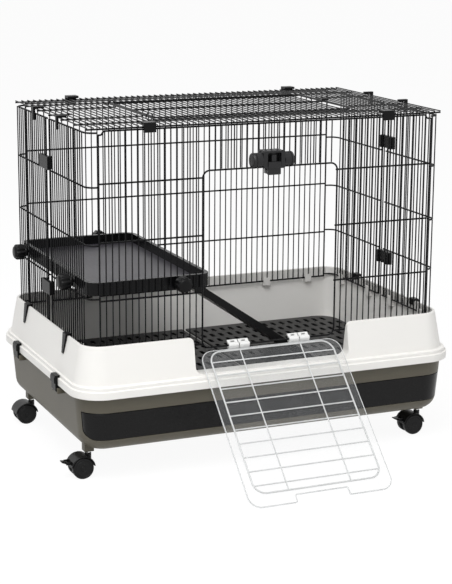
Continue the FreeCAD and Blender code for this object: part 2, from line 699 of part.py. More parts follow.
def doorway(name, grow):
    """The low entrance through the front wall, with rounded lower corners and shoulders."""
    half = S.doorway_length / 2
    shoulder = arc((half + S.doorway_lip, S.tub_top - S.doorway_lip), S.doorway_lip - grow,
                   math.pi, math.pi / 2, LIP_STEPS)
    right = [(half + grow, S.doorway_low - grow), *shoulder, (half + S.doorway_lip, S.tub_top + S.tub_wall)]
    points = right + [(-x, z) for x, z in reversed(right)]
    return prism(name, "XZ", doorway_reach - S.tub_width / 2, 2 * doorway_reach, points,
                 ((S.doorway_corner, (0, len(points) - 1)),))


def lug(name, axis, hand, along, rail, wall, rail_z):
    """A tab on the tub's inner wall that carries a bottom rail and stands up in front of it."""
    face = rail - S.thick_wire - S.seat_gap
    near = face - S.lug_thickness
    span = (along - S.lug_width / 2, along + S.lug_width / 2)
    reach = (near, wall) if hand > 0 else (-wall, -near)
    seat = (face, wall) if hand > 0 else (-wall, -face)
    height = (S.lug_low, rail_z + S.lug_rise)
    seat_height = (rail_z - wire_reach - S.seat_gap, rail_z + S.lug_rise)
    if axis == "x":
        return cut(name, box(f"{name}_tab", reach, span, height), box(f"{name}_seat", seat, span, seat_height))
    return cut(name, box(f"{name}_tab", span, reach, height), box(f"{name}_seat", span, seat, seat_height))


tub_wall_block = block("tub_wall_block", S.tub_length, S.tub_width, S.tub_corner, S.tub_top, -wall_height,
                       lean_out=S.tub_draft)
rim_upper = block("rim_upper", S.rim_length - 2 * S.rim_band, S.rim_width - 2 * S.rim_band,
                  S.rim_corner - S.rim_band, S.rim_step, S.rim_top - S.rim_step)
rim_lower = block("rim_lower", S.rim_length, S.rim_width, S.rim_corner, S.rim_low, S.rim_step - S.rim_low)
basin_skin = block("basin_skin", floor_length + 2 * S.tub_wall, floor_width + 2 * S.tub_wall, basin_corner,
                   ledge_low, S.rim_step - ledge_low)
tub_block = join("tub_block", tub_wall_block, rim_upper, rim_lower, basin_skin)
basin = block("basin", basin_length, basin_width, basin_corner, S.tub_top, -basin_depth, lean_in=S.basin_draft)
ledge_opening = block("ledge_opening", floor_length - 2 * S.ledge_width, floor_width - 2 * S.ledge_width,
                      basin_corner - S.ledge_width / 2, ledge_low, S.ledge_thickness)
tub_open = cut("tub_open", tub_block, basin, ledge_opening, doorway("doorway_cut", 0 * S.tub_wall))
hollow_wall = block("hollow_wall", S.tub_length - 2 * S.tub_wall, S.tub_width - 2 * S.tub_wall,
                    S.tub_corner - S.tub_wall, S.tub_top - S.tub_wall, S.base_top + S.tub_wall - S.tub_top,
                    lean_out=S.tub_draft)
hollow_low = block("hollow_low", S.rim_length - 2 * S.tub_wall, S.rim_width - 2 * S.tub_wall,
                   S.rim_corner - S.tub_wall, ledge_low, S.base_top - ledge_low)
basin_wall = block("basin_wall", basin_length + 2 * S.tub_wall, basin_width + 2 * S.tub_wall,
                   basin_corner + S.tub_wall, S.tub_top, ledge_low - S.tub_top, lean_in=S.basin_draft)
hollow = cut("hollow", join("hollow_space", hollow_wall, hollow_low), basin_wall,
             doorway("doorway_wall", S.tub_wall))
cross_bar = box("cross_bar", (-S.bar_width / 2, S.bar_width / 2), (-floor_width / 2, floor_width / 2),
                (S.ledge_top - S.bar_depth, S.ledge_top))

lug_wall_x = S.tub_length / 2 - S.tub_land / 2
lug_wall_y = S.tub_width / 2 - S.tub_land / 2
lugs = []
for hand_name, hand in (("left", -1), ("right", 1)):
    for place_name, x, y in (("near", S.lug_near_x, S.lug_near_y), ("far", S.lug_far_x, S.lug_far_y)):
        for depth_name, depth in (("front", -1), ("rear", 1)):
            spot = f"{hand_name}_{depth_name}_{place_name}"
            lugs.append(lug(f"{spot}_end_lug", "y", depth, hand * x, rail_y, lug_wall_y, S.wire_bottom))
            lugs.append(lug(f"{spot}_side_lug", "x", hand, depth * y, rail_x, lug_wall_x, S.side_bottom))
tub_body = join("tub_body", tub_open, cross_bar, *lugs)
keep("upper_tub", cut("tub_finished", tub_body, hollow))


# Floor grates

def floor_grate(name, hand):
    """Slotted floor plate with rounded outer corners, lying on the tub's ledge and its cross bar."""
    inner = S.grate_parting
    outer = floor_length / 2 - S.grate_gap
    half = floor_width / 2 - S.grate_gap
    points = ((hand * inner, -half), (hand * outer, -half), (hand * outer, half), (hand * inner, half))
    plate = prism(f"{name}_plate", "XY", S.ledge_top, S.grate_thickness, points, ((S.grate_corner, (1, 2)),))
    holes = doc.addObject("Part::Feature", f"{name}_holes")
    border = float(S.grate_border)
    columns = int((float(outer - inner) - 2 * border) // float(S.grate_slot_width + S.grate_bar))
    rows = int((2 * float(half) - 2 * border) // float(S.grate_slot_length + S.grate_rib))
    step_x = float(S.grate_slot_width + S.grate_bar)
    step_y = float(S.grate_slot_length + S.grate_rib)
    first_x = float(outer + inner) / 2 - step_x * (columns - 1) / 2
    first_y = -step_y * (rows - 1) / 2
    corner_x = float(outer - S.grate_corner)
    corner_y = float(half - S.grate_corner)
    slots = []
    for column in range(columns):
        for row in range(rows):
            x = first_x + column * step_x
            y = first_y + row * step_y
            if x > corner_x and abs(y) > corner_y:
                continue
            low = Vector(hand * x - float(S.grate_slot_width) / 2, y - float(S.grate_slot_length) / 2,
                         float(S.ledge_top))
            slots.append(Part.makeBox(float(S.grate_slot_width), float(S.grate_slot_length),
                                      float(S.grate_thickness), low))
    holes.Shape = Part.makeCompound(slots)
    return keep(name, cut(f"{name}_finished", plate, holes))


floor_grate("floor_grate_left", -1)
floor_grate("floor_grate_right", 1)


# Wire panels

ACROSS = (1, 0, 0)
DEPTH = (0, 1, 0)
UP = (0, 0, 1)
front_y = -panel_half_y
roof_rail = S.wire_top + wire_reach + S.weld_gap + S.thick_wire
roof_wire = roof_rail + S.thick_wire + S.weld_gap + S.thin_wire


def front_panel():
    """Uprights beside and above the doorway, and the rails that hold them."""
    shapes = []
    foot = S.wire_bottom - S.thick_wire
    head = S.wire_top + S.thick_wire
    jog_x = front_end - S.jog_length
    for hand in (-1, 1):
        for x in spread(frame_half, front_end, S.wire_pitch)[1:-1]:
            top = head if x < float(jog_x) else head - S.rail_jog
            shapes.append(thin((hand * x, -thin_y, foot), (hand * x, -thin_y, top), DEPTH))
        shapes.append(thick((hand * front_end, front_y, foot),
                            (hand * front_end, front_y, head - S.rail_jog), DEPTH))
        for z in (S.wire_bottom, S.level_low, S.level_mid, S.level_high):
            shapes.append(thick((hand * (frame_half - wire_tip), -rail_y, z),
                                (hand * (front_end - wire_tip), -rail_y, z), DEPTH))
    rise = S.doorway_frame_high + wire_reach + S.weld_gap
    for x in spread(-frame_half, frame_half, S.wire_pitch)[1:-1]:
        shapes.append(thin((x, -thin_y, rise), (x, -thin_y, head), DEPTH))
    low = S.wire_top - S.rail_jog
    end = front_end - wire_tip
    run = ((-end, -rail_y, low), (-jog_x - S.jog_slope, -rail_y, low), (-jog_x, -rail_y, S.wire_top),
           (jog_x, -rail_y, S.wire_top), (jog_x + S.jog_slope, -rail_y, low), (end, -rail_y, low))
    shapes.append(wire(run, S.thick_wire, DEPTH, THICK_SIDES))
    return wires("front_panel", shapes)


def doorway_frame():
    """Wire frame around the doorway with bent corners. Its lower run is the door's round hinge rod."""
    rod_half = frame_half - S.doorway_frame_bend
    low, high = S.doorway_frame_low, S.doorway_frame_high
    run = curved(((rod_half, front_y, low), (frame_half, front_y, low), (frame_half, front_y, high),
                  (-frame_half, front_y, high), (-frame_half, front_y, low), (-rod_half, front_y, low)),
                 S.doorway_frame_bend)
    hoop = wire(run[1:-1], S.thick_wire, DEPTH, THICK_SIDES)
    hinge_rod = wire(((-rod_half, front_y, low), (rod_half, front_y, low)), S.thick_wire, DEPTH, PIN_SIDES)
    return wires("doorway_frame", [hoop.fuse(hinge_rod)])


def back_panel():
    shapes = []
    foot = S.wire_bottom - S.thick_wire
    head = S.wire_top + S.thick_wire
    for x in spread(-front_end, front_end, S.wire_pitch)[1:-1]:
        shapes.append(thin((x, thin_y, foot), (x, thin_y, head), DEPTH))
    for hand in (-1, 1):
        shapes.append(thick((hand * front_end, panel_half_y, foot),
                            (hand * front_end, panel_half_y, head), DEPTH))
    end = front_end - wire_tip
    for z in (S.wire_bottom, S.level_low, S.level_mid, S.level_high, S.wire_top):
        shapes.append(thick((-end, rail_y, z), (end, rail_y, z), DEPTH))
    return wires("back_panel", shapes)


def side_half(name, hand, depth):
    """Half of a side wall. Its rails turn the corner and end on the front or back panel's end wire."""
    shapes = []
    foot = S.side_bottom - S.thick_wire
    head = S.side_top + S.thick_wire
    for y in spread(seam_half, rail_y - S.corner_bend, S.wire_pitch)[1:]:
        shapes.append(thin((hand * thin_x, depth * y, foot), (hand * thin_x, depth * y, head), ACROSS))
    seam = depth * seam_half
    shapes.append(thick((hand * panel_half_x, seam, foot), (hand * panel_half_x, seam, head), ACROSS))
    for z in (S.side_bottom, S.side_low, S.side_mid, S.side_high, S.side_top):
        run = curved(((hand * rail_x, depth * (seam_half - wire_tip), z), (hand * rail_x, depth * rail_y, z),
                      (hand * (front_end + wire_tip), depth * rail_y, z)), S.corner_bend)
        shapes.append(wire(run, S.thick_wire, UP, THICK_SIDES, flat_inside=True))
    return wires(name, shapes)


front_panel()
doorway_frame()
back_panel()
for hand_name, hand in (("left", -1), ("right", 1)):
    side_half(f"{hand_name}_front_panel", hand, -1)
    side_half(f"{hand_name}_rear_panel", hand, 1)


# Top panel and hatch

RING_SIDES = 10

opening_left = S.hatch_left - S.hatch_gap
opening_right = S.hatch_right + S.hatch_gap
opening_half = S.hatch_width / 2 + S.hatch_gap


def top_panel():
    """Roof of wires running front to back over cross rails, with an opening for the hatch."""
    shapes = []
    reach = rail_y + S.thick_wire
    lip = opening_half - wire_tip
    for x in spread(-rail_x, opening_left, S.wire_pitch) + spread(opening_right, rail_x, S.wire_pitch):
        shapes.append(thin((x, -reach, roof_wire), (x, reach, roof_wire), UP))
    for x in spread(opening_left, opening_right, S.wire_pitch)[1:-1]:
        for depth in (-1, 1):
            shapes.append(thin((x, depth * lip, roof_wire), (x, depth * reach, roof_wire), UP))
    end = rail_x + S.thin_wire
    for y in (rail_y, S.roof_rail_y):
        for depth in (-1, 1):
            shapes.append(thick((-end, depth * y, roof_rail), (end, depth * y, roof_rail), UP))
    for depth in (-1, 1):
        y = depth * opening_half
        shapes.append(thick((opening_left - wire_tip, y, roof_rail),
                            (opening_right + wire_tip, y, roof_rail), UP))
        y = depth * S.roof_rail_pitch
        shapes.append(thick((-end, y, roof_rail), (opening_left + wire_tip, y, roof_rail), UP))
        shapes.append(thick((opening_right - wire_tip, y, roof_rail), (end, y, roof_rail), UP))
    shapes.append(thick((-end, 0, roof_rail), (S.roof_stub - end, 0, roof_rail), UP))
    return wires("top_panel", shapes)


def top_hatch():
    """Lift-up door in the roof: a bent frame, its wires, a tongue and two rings round a roof wire."""
    half = S.hatch_width / 2
    corners = ((S.hatch_right, -half, roof_wire), (S.hatch_right, half, roof_wire),
               (S.hatch_left, half, roof_wire), (S.hatch_left, -half, roof_wire))
    shapes = [wire(curved(corners, S.hatch_bend, closed=True), S.thick_wire, UP, THICK_SIDES, closed=True)]
    bar_z = roof_wire - S.thick_wire - S.weld_gap - S.thin_wire
    for x in spread(S.hatch_left, S.hatch_right, S.wire_pitch)[1:-1]:
        shapes.append(thin((x, -half - wire_tip, bar_z), (x, half + wire_tip, bar_z), UP))
    mid_z = bar_z + S.thin_wire + S.weld_gap + S.thick_wire
    inset = wire_reach + S.weld_gap
    shapes.append(thick((S.hatch_left + inset, 0, mid_z), (S.hatch_right - inset, 0, mid_z), UP))
    tongue_z = roof_wire + 2 * S.thick_wire + S.weld_gap
    shapes.append(thick((S.hatch_right - S.tongue_lap, 0, tongue_z),
                        (opening_right + S.tongue_lap, 0, tongue_z), UP))
    ring_x = (S.hatch_left + opening_left) / 2
    for depth in (-1, 1):
        ring = [(x, depth * S.ring_y, z) for x, z in polygon((ring_x, roof_wire), S.ring_radius, RING_SIDES)]
        shapes.append(wire(ring, S.thin_wire, DEPTH, THIN_SIDES, closed=True))
    return wires("top_hatch", shapes)


top_panel()
top_hatch()


# Front door. It is drawn closed, with the hinge rod along X through the origin, then swung open.

door_face = -S.door_stand_off
door_front = door_face - S.door_plate
door_reach = math.hypot(float(S.door_height), float(door_front))
door_swing = math.degrees(math.acos((float(S.seat_gap) - float(S.doorway_frame_low)) / door_reach)
                          + math.atan2(float(door_front), float(S.door_height)))
swing = FreeCAD.Rotation(Vector(1, 0, 0), door_swing)


def hang(item):
    """Swing a closed-door piece open about the hinge rod, so that its foot stands on the floor."""
    return place(item, 0, front_y, S.doorway_frame_low, swing)


def front_door():
    """Clear plate with a latch notch, a raised frame, two long ribs and climbing bars."""
    half = S.door_length / 2
    notch = S.door_notch_length / 2
    low = S.door_start
    high = S.door_height
    points = ((-half, low), (half, low), (half, high), (notch, high), (notch, high - S.door_notch_depth),
              (-notch, high - S.door_notch_depth), (-notch, high), (-half, high))
    plate = prism("door_plate_body", "XZ", door_face, S.door_plate, points, ((S.door_corner, (0, 1, 2, 7)),))
    rib_half = half - S.door_margin
    rib_low = low + S.door_rib_width
    rib_high = high - S.door_foot_margin
    face = (door_face, door_face + S.door_rib_height)
    ribs = []
    for hand in (-1, 1):
        for name, x in (("edge", rib_half), ("long", S.door_rib_x)):
            span = (hand * x - S.door_rib_width / 2, hand * x + S.door_rib_width / 2)
            ribs.append(box(f"door_{name}_rib_{hand + 1}", span, face, (rib_low, rib_high)))
    first = low + S.door_rib_first
    count = int(float(rib_high - first) // float(S.door_rib_pitch))
    levels = [rib_low, rib_high - S.door_rib_width]
    levels += [first + S.door_rib_pitch * number for number in range(count + 1)]
    for number, z in enumerate(levels):
        ribs.append(box(f"door_bar_{number}", (-rib_half, rib_half), face, (z, z + S.door_rib_width)))
    return hang(keep("front_door", join("door_finished", plate, *ribs)))


def hinge_clips():
    """Four clips that hold the door's lower edge on the hinge rod."""
    clips = []
    leaf = S.hinge_clip_leaf
    eye = S.hinge_clip_radius
    slant = eye / math.sqrt(2)
    top = S.door_start - S.seat_gap
    hold = S.door_start + S.hinge_clip_hold
    zero = 0 * eye
    profile = ((-leaf, -S.hinge_clip_tail), (leaf / 2, -S.hinge_clip_tail), (leaf / 2, -eye), (slant, -slant),
               (eye, zero), (slant, slant), (zero, eye), (-leaf, top), (door_front, top), (door_front, hold),
               (door_front - leaf, hold), (door_front - leaf, -leaf), (-slant, -slant), (-leaf, -eye))
    for hand in (-1, 1):
        for step in (-1, 1):
            low = hand * S.door_rib_x + step * S.hinge_clip_pitch / 2 - S.hinge_clip_width / 2
            name = f"hinge_clip_{hand + 1}{step + 1}"
            solid = prism(f"{name}_solid", "YZ", low, S.hinge_clip_width, profile)
            hole = bore(f"{name}_bore", "X", S.thick_wire + S.running_fit, (low, 0, 0), S.hinge_clip_width)
            clips.append(cut(name, solid, hole))
    return hang(keep("door_hinge_clips", compound("hinge_clip_set", clips)))


front_door()
hinge_clips()


# Door latch

latch_back = front_y - S.thin_wire - S.seat_gap
latch_y = latch_back - S.latch_barrel
slide_front = latch_back - S.latch_block_depth


def latch_housing():
    """Two barrels with a block between them, and a groove for the slide down the block's face."""
    left = S.latch_x - S.latch_length / 2
    barrel = rod("latch_barrel", "X", S.latch_barrel, (left, latch_y, S.latch_z), S.latch_length)
    flange = rod("latch_flange", "X", S.latch_flange, (left, latch_y, S.latch_z), S.latch_flange_width)
    trim = box("latch_trim", (left, left + S.latch_length), (latch_back, latch_back + S.latch_flange),
               (S.latch_z - S.latch_flange, S.latch_z + S.latch_flange))
    block_half = S.latch_block_length / 2
    low = S.latch_z - S.latch_barrel
    middle = prism("latch_block", "YZ", S.latch_x - block_half, S.latch_block_length,
                   ((slide_front, low), (latch_back, low), (latch_back, S.latch_block_top),
                    (slide_front + S.latch_barrel / 2, S.latch_block_top),
                    (slide_front, S.latch_z + S.latch_barrel / 2)))
    groove_half = S.slide_width / 2 + S.slide_gap
    groove = box("latch_groove", (S.latch_x - groove_half, S.latch_x + groove_half),
                 (slide_front, slide_front + S.slide_thickness + S.slide_gap),
                 (low, S.slide_high + S.slide_gap))
    solid = join("latch_solid", barrel, flange, middle)
    return keep("latch_housing", cut("latch_finished", solid, trim, groove))


def latch_slide():
    """Thumb slide. Its foot drops in front of the closed door's notch."""
    sides = (S.latch_x - S.slide_width / 2, S.latch_x + S.slide_width / 2)
    face = box("slide_face", sides, (slide_front, slide_front + S.slide_thickness),
               (S.slide_low, S.slide_high))
    foot_back = front_y - S.door_stand_off - S.door_plate - S.hinge_clip_leaf
    foot = box("slide_foot", sides, (slide_front, foot_back), (S.slide_low, S.slide_low + S.slide_foot))
    thumb = rod("slide_thumb", "Y", S.thumb_radius,
                (S.latch_x, slide_front, S.slide_low + S.slide_foot + S.thumb_radius), S.thumb_depth)
    return keep("latch_slide", cut("slide_finished", join("slide_solid", face, foot), thumb))


latch_housing()
latch_slide()


# Shelf, its knobs and the ramp

shelf_length = S.shelf_right - S.shelf_left
shelf_middle = (S.shelf_right + S.shelf_left) / 2
knob_bores = []


KNOB_SIDES = 20
COLLAR_SIDES = 12


def knob(name, facing, spot):
    """Fluted hand screw whose stud passes between the wires into the shelf's rim."""
    outward = {"front": -1, "rear": 1, "left": -1}[facing]
    wall = (thin_x if facing == "left" else thin_y) + S.thin_wire
    collar_face = wall + S.seat_gap
    head_face = collar_face + S.knob_collar_length
    head_end = head_face + S.knob_length
    rim_face = -S.shelf_left if facing == "left" else S.shelf_width / 2
    stud_end = rim_face - S.shelf_rim

    def along(shape, part, radius, near, far):
        low = near if outward > 0 else -far
        start = (low, spot, S.knob_z) if facing == "left" else (spot, low, S.knob_z)
        return shape(f"{name}_{part}", "X" if facing == "left" else "Y", radius, start, far - near)

    def lobed(part, radius, near, far, sides, inset=None):
        low, high = (near, far) if outward > 0 else (-far, -near)
        points = polygon((spot, S.knob_z), radius, sides, inset)
        if facing == "left":
            return prism(f"{name}_{part}", "YZ", low, far - near, points)
        return prism(f"{name}_{part}", "XZ", high, far - near, points)

    pieces = [lobed("head", S.knob_radius, head_face, head_end, KNOB_SIDES, S.knob_flute),
              lobed("dome", S.knob_radius - S.knob_dome, head_end, head_end + S.knob_dome, COLLAR_SIDES),
              lobed("collar", S.knob_collar, collar_face, head_face, COLLAR_SIDES),
              along(pin, "stud", S.stud_radius, stud_end, collar_face)]
    knob_bores.append(along(bore, "bore", S.stud_radius + S.running_fit, stud_end, rim_face))
    return keep(name, join(f"{name}_finished", *pieces))


knob("shelf_knob_front", "front", -(frame_half + 3.5 * upright_pitch))
knob("shelf_knob_rear", "rear", -14.5 * back_pitch)
knob("shelf_knob_left_front", "left", -(seam_half + 9.5 * side_pitch))
knob("shelf_knob_left_rear", "left", seam_half + 11.5 * side_pitch)

shelf_outer = block("shelf_outer", shelf_length, S.shelf_width, S.shelf_corner, S.shelf_bottom, S.shelf_height)
place(shelf_outer, shelf_middle, 0, S.shelf_bottom)
shelf_inner = block("shelf_inner", shelf_length - 2 * S.shelf_rim, S.shelf_width - 2 * S.shelf_rim,
                    S.shelf_corner - S.shelf_rim, S.shelf_bottom, S.shelf_height)
place(shelf_inner, shelf_middle, 0, S.shelf_bottom + S.shelf_floor)
ear_low = S.ramp_bar_z - S.ramp_thickness / 2
ramp_ears = []
for ear_name, ear_y in (("front", S.ramp_front - S.ramp_side_gap - S.ramp_ear),
                        ("rear", S.ramp_back + S.ramp_side_gap)):
    ramp_ears.append(box(f"{ear_name}_ramp_ear",
                         (S.ramp_bar_x - S.ramp_ear_width / 2, S.ramp_bar_x + S.ramp_ear_width / 2),
                         (ear_y, ear_y + S.ramp_ear), (ear_low, S.shelf_bottom + S.shelf_floor)))
bar_low = S.ramp_front - S.ramp_side_gap
ramp_bar = pin("ramp_bar", "Y", S.ramp_bar_radius, (S.ramp_bar_x, bar_low, S.ramp_bar_z),
               S.ramp_back - S.ramp_front + 2 * S.ramp_side_gap)
shelf_tray = cut("shelf_tray", shelf_outer, shelf_inner)
keep("shelf", cut("shelf_finished", join("shelf_solid", shelf_tray, *ramp_ears, ramp_bar), *knob_bores))


def ramp():
    """Plank with side rails, climbing cleats and a barrel at its upper end, drawn level and then lowered."""
    width = S.ramp_back - S.ramp_front
    half = S.ramp_thickness / 2
    drop = S.ramp_bar_z - half * cos(S.ramp_angle) - S.ledge_top - S.grate_thickness - S.seat_gap
    length = drop / sin(S.ramp_angle)
    barrel = rod("ramp_barrel", "Y", half, (0, S.ramp_front, 0), width)
    deck = box("ramp_deck", (0 * half, length), (S.ramp_front, S.ramp_back), (-half, S.ramp_deck - half))
    rails = [box(f"ramp_{side}_rail", (0 * half, length), (low, low + S.ramp_rail), (-half, half))
             for side, low in (("front", S.ramp_front), ("rear", S.ramp_back - S.ramp_rail))]
    count = int(float(length) // float(S.cleat_pitch))
    cleats = [box(f"ramp_cleat_{number}", (S.cleat_pitch * number - S.cleat_width, S.cleat_pitch * number),
                  (S.ramp_front, S.ramp_back), (S.ramp_deck - half, S.ramp_deck - half + S.cleat_height))
              for number in range(1, count + 1)]
    hole = bore("ramp_bore", "Y", S.ramp_bar_radius + S.running_fit, (0, S.ramp_front, 0), width)
    plank = keep("ramp", cut("ramp_finished", join("ramp_solid", barrel, deck, *rails, *cleats), hole))
    slope = FreeCAD.Rotation(Vector(0, 1, 0), float(S.ramp_angle))
    return place(plank, S.ramp_bar_x, 0, S.ramp_bar_z, slope)


ramp()


# Catches that hold the tub down on the base, two on each side

rim_face = S.rim_length / 2
for depth_name, side_y in (("front", -1), ("rear", 1)):
    for hand_name, hand in (("left", -1), ("right", 1)):
        catch = f"tub_catch_{depth_name}_{hand_name}"
        low = side_y * S.catch_y - S.catch_width / 2
        arm_in = rim_face + S.seat_gap
        arm_out = arm_in + S.catch_arm
        hook_low = S.rim_step + S.seat_gap
        hook_high = hook_low + S.catch_hook
        hook_in = rim_face - S.rim_band + S.seat_gap
        head_low = hook_high - S.catch_head
        head_out = arm_out + S.catch_bulge
        heel = S.catch_bar_z - S.catch_heel
        profile = ((hand * arm_in, heel), (hand * (arm_out - S.catch_bulge), heel),
                   (hand * arm_out, S.catch_bar_z), (hand * arm_out, head_low), (hand * head_out, head_low),
                   (hand * head_out, hook_low), (hand * arm_out, hook_high), (hand * hook_in, hook_high),
                   (hand * hook_in, hook_low), (hand * arm_in, hook_low))
        arm = prism(f"{catch}_arm", "XZ", low + S.catch_width, S.catch_width, profile)
        pivot = (hand * catch_bar_x, low, S.catch_bar_z)
        barrel = sided(f"{catch}_barrel", "Y", S.catch_barrel - S.seat_gap, pivot, S.catch_width,
                       COLLAR_SIDES)
        hole = bore(f"{catch}_bore", "Y", S.catch_bar_radius + S.running_fit, pivot, S.catch_width)
        keep(catch, cut(f"{catch}_finished", join(f"{catch}_solid", arm, barrel), hole))


# Clips on the wire cage

def cage_clips():
    """Tapered fingers that hook the cage over the tub's side walls."""
    clips = []
    lean = S.cage_clip_length * tan(S.tub_draft)
    leg_lean = S.cage_clip_leg * tan(S.basin_draft)
    top = S.tub_top + S.seat_gap
    outer = S.tub_length / 2 + S.seat_gap
    inner = S.tub_length / 2 - S.tub_land - S.seat_gap
    for hand in (-1, 1):
        for depth in (-1, 1):
            name = f"cage_clip_{hand + 1}{depth + 1}"
            tip_z = top - S.cage_clip_length
            profile = ((hand * outer, top), (hand * (outer + lean), tip_z),
                       (hand * (outer + lean + S.cage_clip_thickness / 2), tip_z),
                       (hand * (outer + S.cage_clip_thickness), top + S.cage_clip_thickness),
                       (hand * (inner - S.cage_clip_leg_thickness), top + S.cage_clip_thickness),
                       (hand * (inner - leg_lean - S.cage_clip_leg_thickness), top - S.cage_clip_leg),
                       (hand * (inner - leg_lean), top - S.cage_clip_leg), (hand * inner, top))
            middle = depth * S.cage_clip_y
            hook = prism(f"{name}_hook", "XZ", middle + S.cage_clip_width / 2, S.cage_clip_width, profile)
            high = top + S.cage_clip_thickness
            taper = prism(f"{name}_taper", "YZ", hand * outer - S.cage_clip_length, 2 * S.cage_clip_length,
                          ((middle - S.cage_clip_tip / 2, tip_z), (middle + S.cage_clip_tip / 2, tip_z),
                           (middle + S.cage_clip_width / 2, high), (middle - S.cage_clip_width / 2, high)))
            clips.append(overlap(name, hook, taper))
    return keep("cage_clips", compound("cage_clip_set", clips))


def top_clips():
    """Hooks that hold the roof down on the front and back panels."""
    clips = []
    near = panel_half_y + S.thick_wire + S.seat_gap
    top = roof_wire + S.thin_wire + S.seat_gap
    for hand in (-1, 1):
        for depth in (-1, 1):
            profile = ((depth * near, top), (depth * near, top - S.top_clip_drop),
                       (depth * (near + S.top_clip_wall), top - S.top_clip_drop),
                       (depth * (near + S.top_clip_wall), top + S.top_clip_wall),
                       (depth * (near - S.top_clip_reach), top + S.top_clip_wall),
                       (depth * (near - S.top_clip_reach), top))
            start = hand * S.top_clip_x - S.top_clip_width / 2
            clips.append(prism(f"top_clip_{hand + 1}{depth + 1}", "YZ", start, S.top_clip_width, profile))
    return keep("top_clips", compound("top_clip_set", clips))


def side_clips():
    """Narrow hooks that hold the roof down on the side panels."""
    clips = []
    near = panel_half_x + S.thick_wire + S.seat_gap
    top = roof_wire + S.thin_wire + S.seat_gap
    for hand in (-1, 1):
        for depth in (-1, 1):
            profile = ((hand * near, top), (hand * near, top - S.side_clip_drop),
                       (hand * (near + S.top_clip_wall), top - S.side_clip_drop),
                       (hand * (near + S.top_clip_wall), top + S.top_clip_wall),
                       (hand * (near - S.top_clip_reach), top + S.top_clip_wall),
                       (hand * (near - S.top_clip_reach), top))
            start = depth * S.side_clip_y + S.side_clip_width / 2
            clips.append(prism(f"side_clip_{hand + 1}{depth + 1}", "XZ", start, S.side_clip_width, profile))
    return keep("side_clips", compound("side_clip_set", clips))


def seam_clips():
    """Clips that lock the two halves of each side wall together at the seam."""
    clips = []
    face = panel_half_x + S.thick_wire + S.seat_gap
    for hand in (-1, 1):
        for level_name, level in (("high", S.seam_clip_high), ("low", S.seam_clip_low)):
            name = f"seam_clip_{hand + 1}_{level_name}"
            half = S.seam_clip_width / 2
            finger_in = seam_half + wire_reach + S.seat_gap
            finger_out = finger_in + S.seam_clip_finger
            tip = face - S.seam_clip_reach
            back = face + S.seam_clip_thickness
            profile = ((hand * back, -half), (hand * face, -half), (hand * face, -finger_out),
                       (hand * tip, -finger_out), (hand * tip, -finger_in), (hand * face, -finger_in),
                       (hand * face, finger_in), (hand * tip, finger_in), (hand * tip, finger_out),
                       (hand * face, finger_out), (hand * face, half), (hand * back, half))
            clips.append(prism(name, "XY", level - S.seam_clip_height / 2, S.seam_clip_height, profile))
    return keep("seam_clips", compound("seam_clip_set", clips))


cage_clips()
top_clips()
side_clips()
seam_clips()


# Check the whole document, then write one file for each sub-part

doc.recompute()
for item in doc.Objects:
    if "Invalid" in item.State or "Error" in item.State:
        raise RuntimeError(f"{item.Label} did not build: {item.State}")
for item in sub_parts:
    if item.Shape.isNull() or not item.Shape.isValid():
        raise RuntimeError(f"{item.Label} has no valid shape")
os.makedirs("parts", exist_ok=True)
for item in sub_parts:
    item.Shape.exportStep(f"parts/{item.Label}.step")
    print(item.Label, len(item.Shape.Solids), round(item.Shape.Volume))
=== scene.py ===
import json
import math

import bmesh
import bpy
from bpy.props import FloatProperty, FloatVectorProperty, IntProperty, PointerProperty
from bpy.types import Operator, Panel, PropertyGroup
from mathutils import Matrix, Vector

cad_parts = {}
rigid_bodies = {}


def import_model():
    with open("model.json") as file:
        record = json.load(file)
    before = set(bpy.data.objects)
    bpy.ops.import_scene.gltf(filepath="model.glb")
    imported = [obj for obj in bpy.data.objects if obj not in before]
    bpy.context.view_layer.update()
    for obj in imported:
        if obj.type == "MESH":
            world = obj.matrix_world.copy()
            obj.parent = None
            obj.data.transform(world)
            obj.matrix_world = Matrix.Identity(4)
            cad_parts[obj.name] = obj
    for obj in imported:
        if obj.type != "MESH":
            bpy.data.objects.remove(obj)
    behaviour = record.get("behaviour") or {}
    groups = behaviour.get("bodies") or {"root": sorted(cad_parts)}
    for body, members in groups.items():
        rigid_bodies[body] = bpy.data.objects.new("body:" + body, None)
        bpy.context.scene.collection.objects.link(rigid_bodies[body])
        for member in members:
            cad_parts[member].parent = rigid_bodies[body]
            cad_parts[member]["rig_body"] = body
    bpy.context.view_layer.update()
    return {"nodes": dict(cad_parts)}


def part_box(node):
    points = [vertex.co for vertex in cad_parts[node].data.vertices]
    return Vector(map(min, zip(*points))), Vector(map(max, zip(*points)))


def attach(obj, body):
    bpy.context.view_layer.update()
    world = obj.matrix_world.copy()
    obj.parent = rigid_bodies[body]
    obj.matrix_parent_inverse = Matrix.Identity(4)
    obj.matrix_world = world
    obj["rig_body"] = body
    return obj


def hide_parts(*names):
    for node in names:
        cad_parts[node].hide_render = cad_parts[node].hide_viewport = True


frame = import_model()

bl_info = {
    "name": "Rabbit cage",
    "version": (1, 0, 0),
    "blender": (4, 5, 0),
    "location": "3D View > Sidebar > Rabbit cage",
    "description": "Dresses a wheeled rabbit cage with wires, mouldings, grates, a clear door and casters",
    "category": "Object",
}

MM = 0.001
# Cosine above which a face counts as facing one way
FACING = 0.9
# Signs and names of the cage's sides and ends, and the names of its corners
SIDES = ((-1, "left"), (1, "right"))
ENDS = ((-1, "front"), (1, "rear"))
CORNERS = [f"{end}_{side}" for _, end in ENDS for _, side in SIDES]
# Stands a flat outline up, facing the front
UPRIGHT = Matrix.Rotation(math.pi / 2, 4, "X")


def mm(*sizes):
    """Sizes in millimetres, turned into metres."""
    return [size * MM for size in sizes]


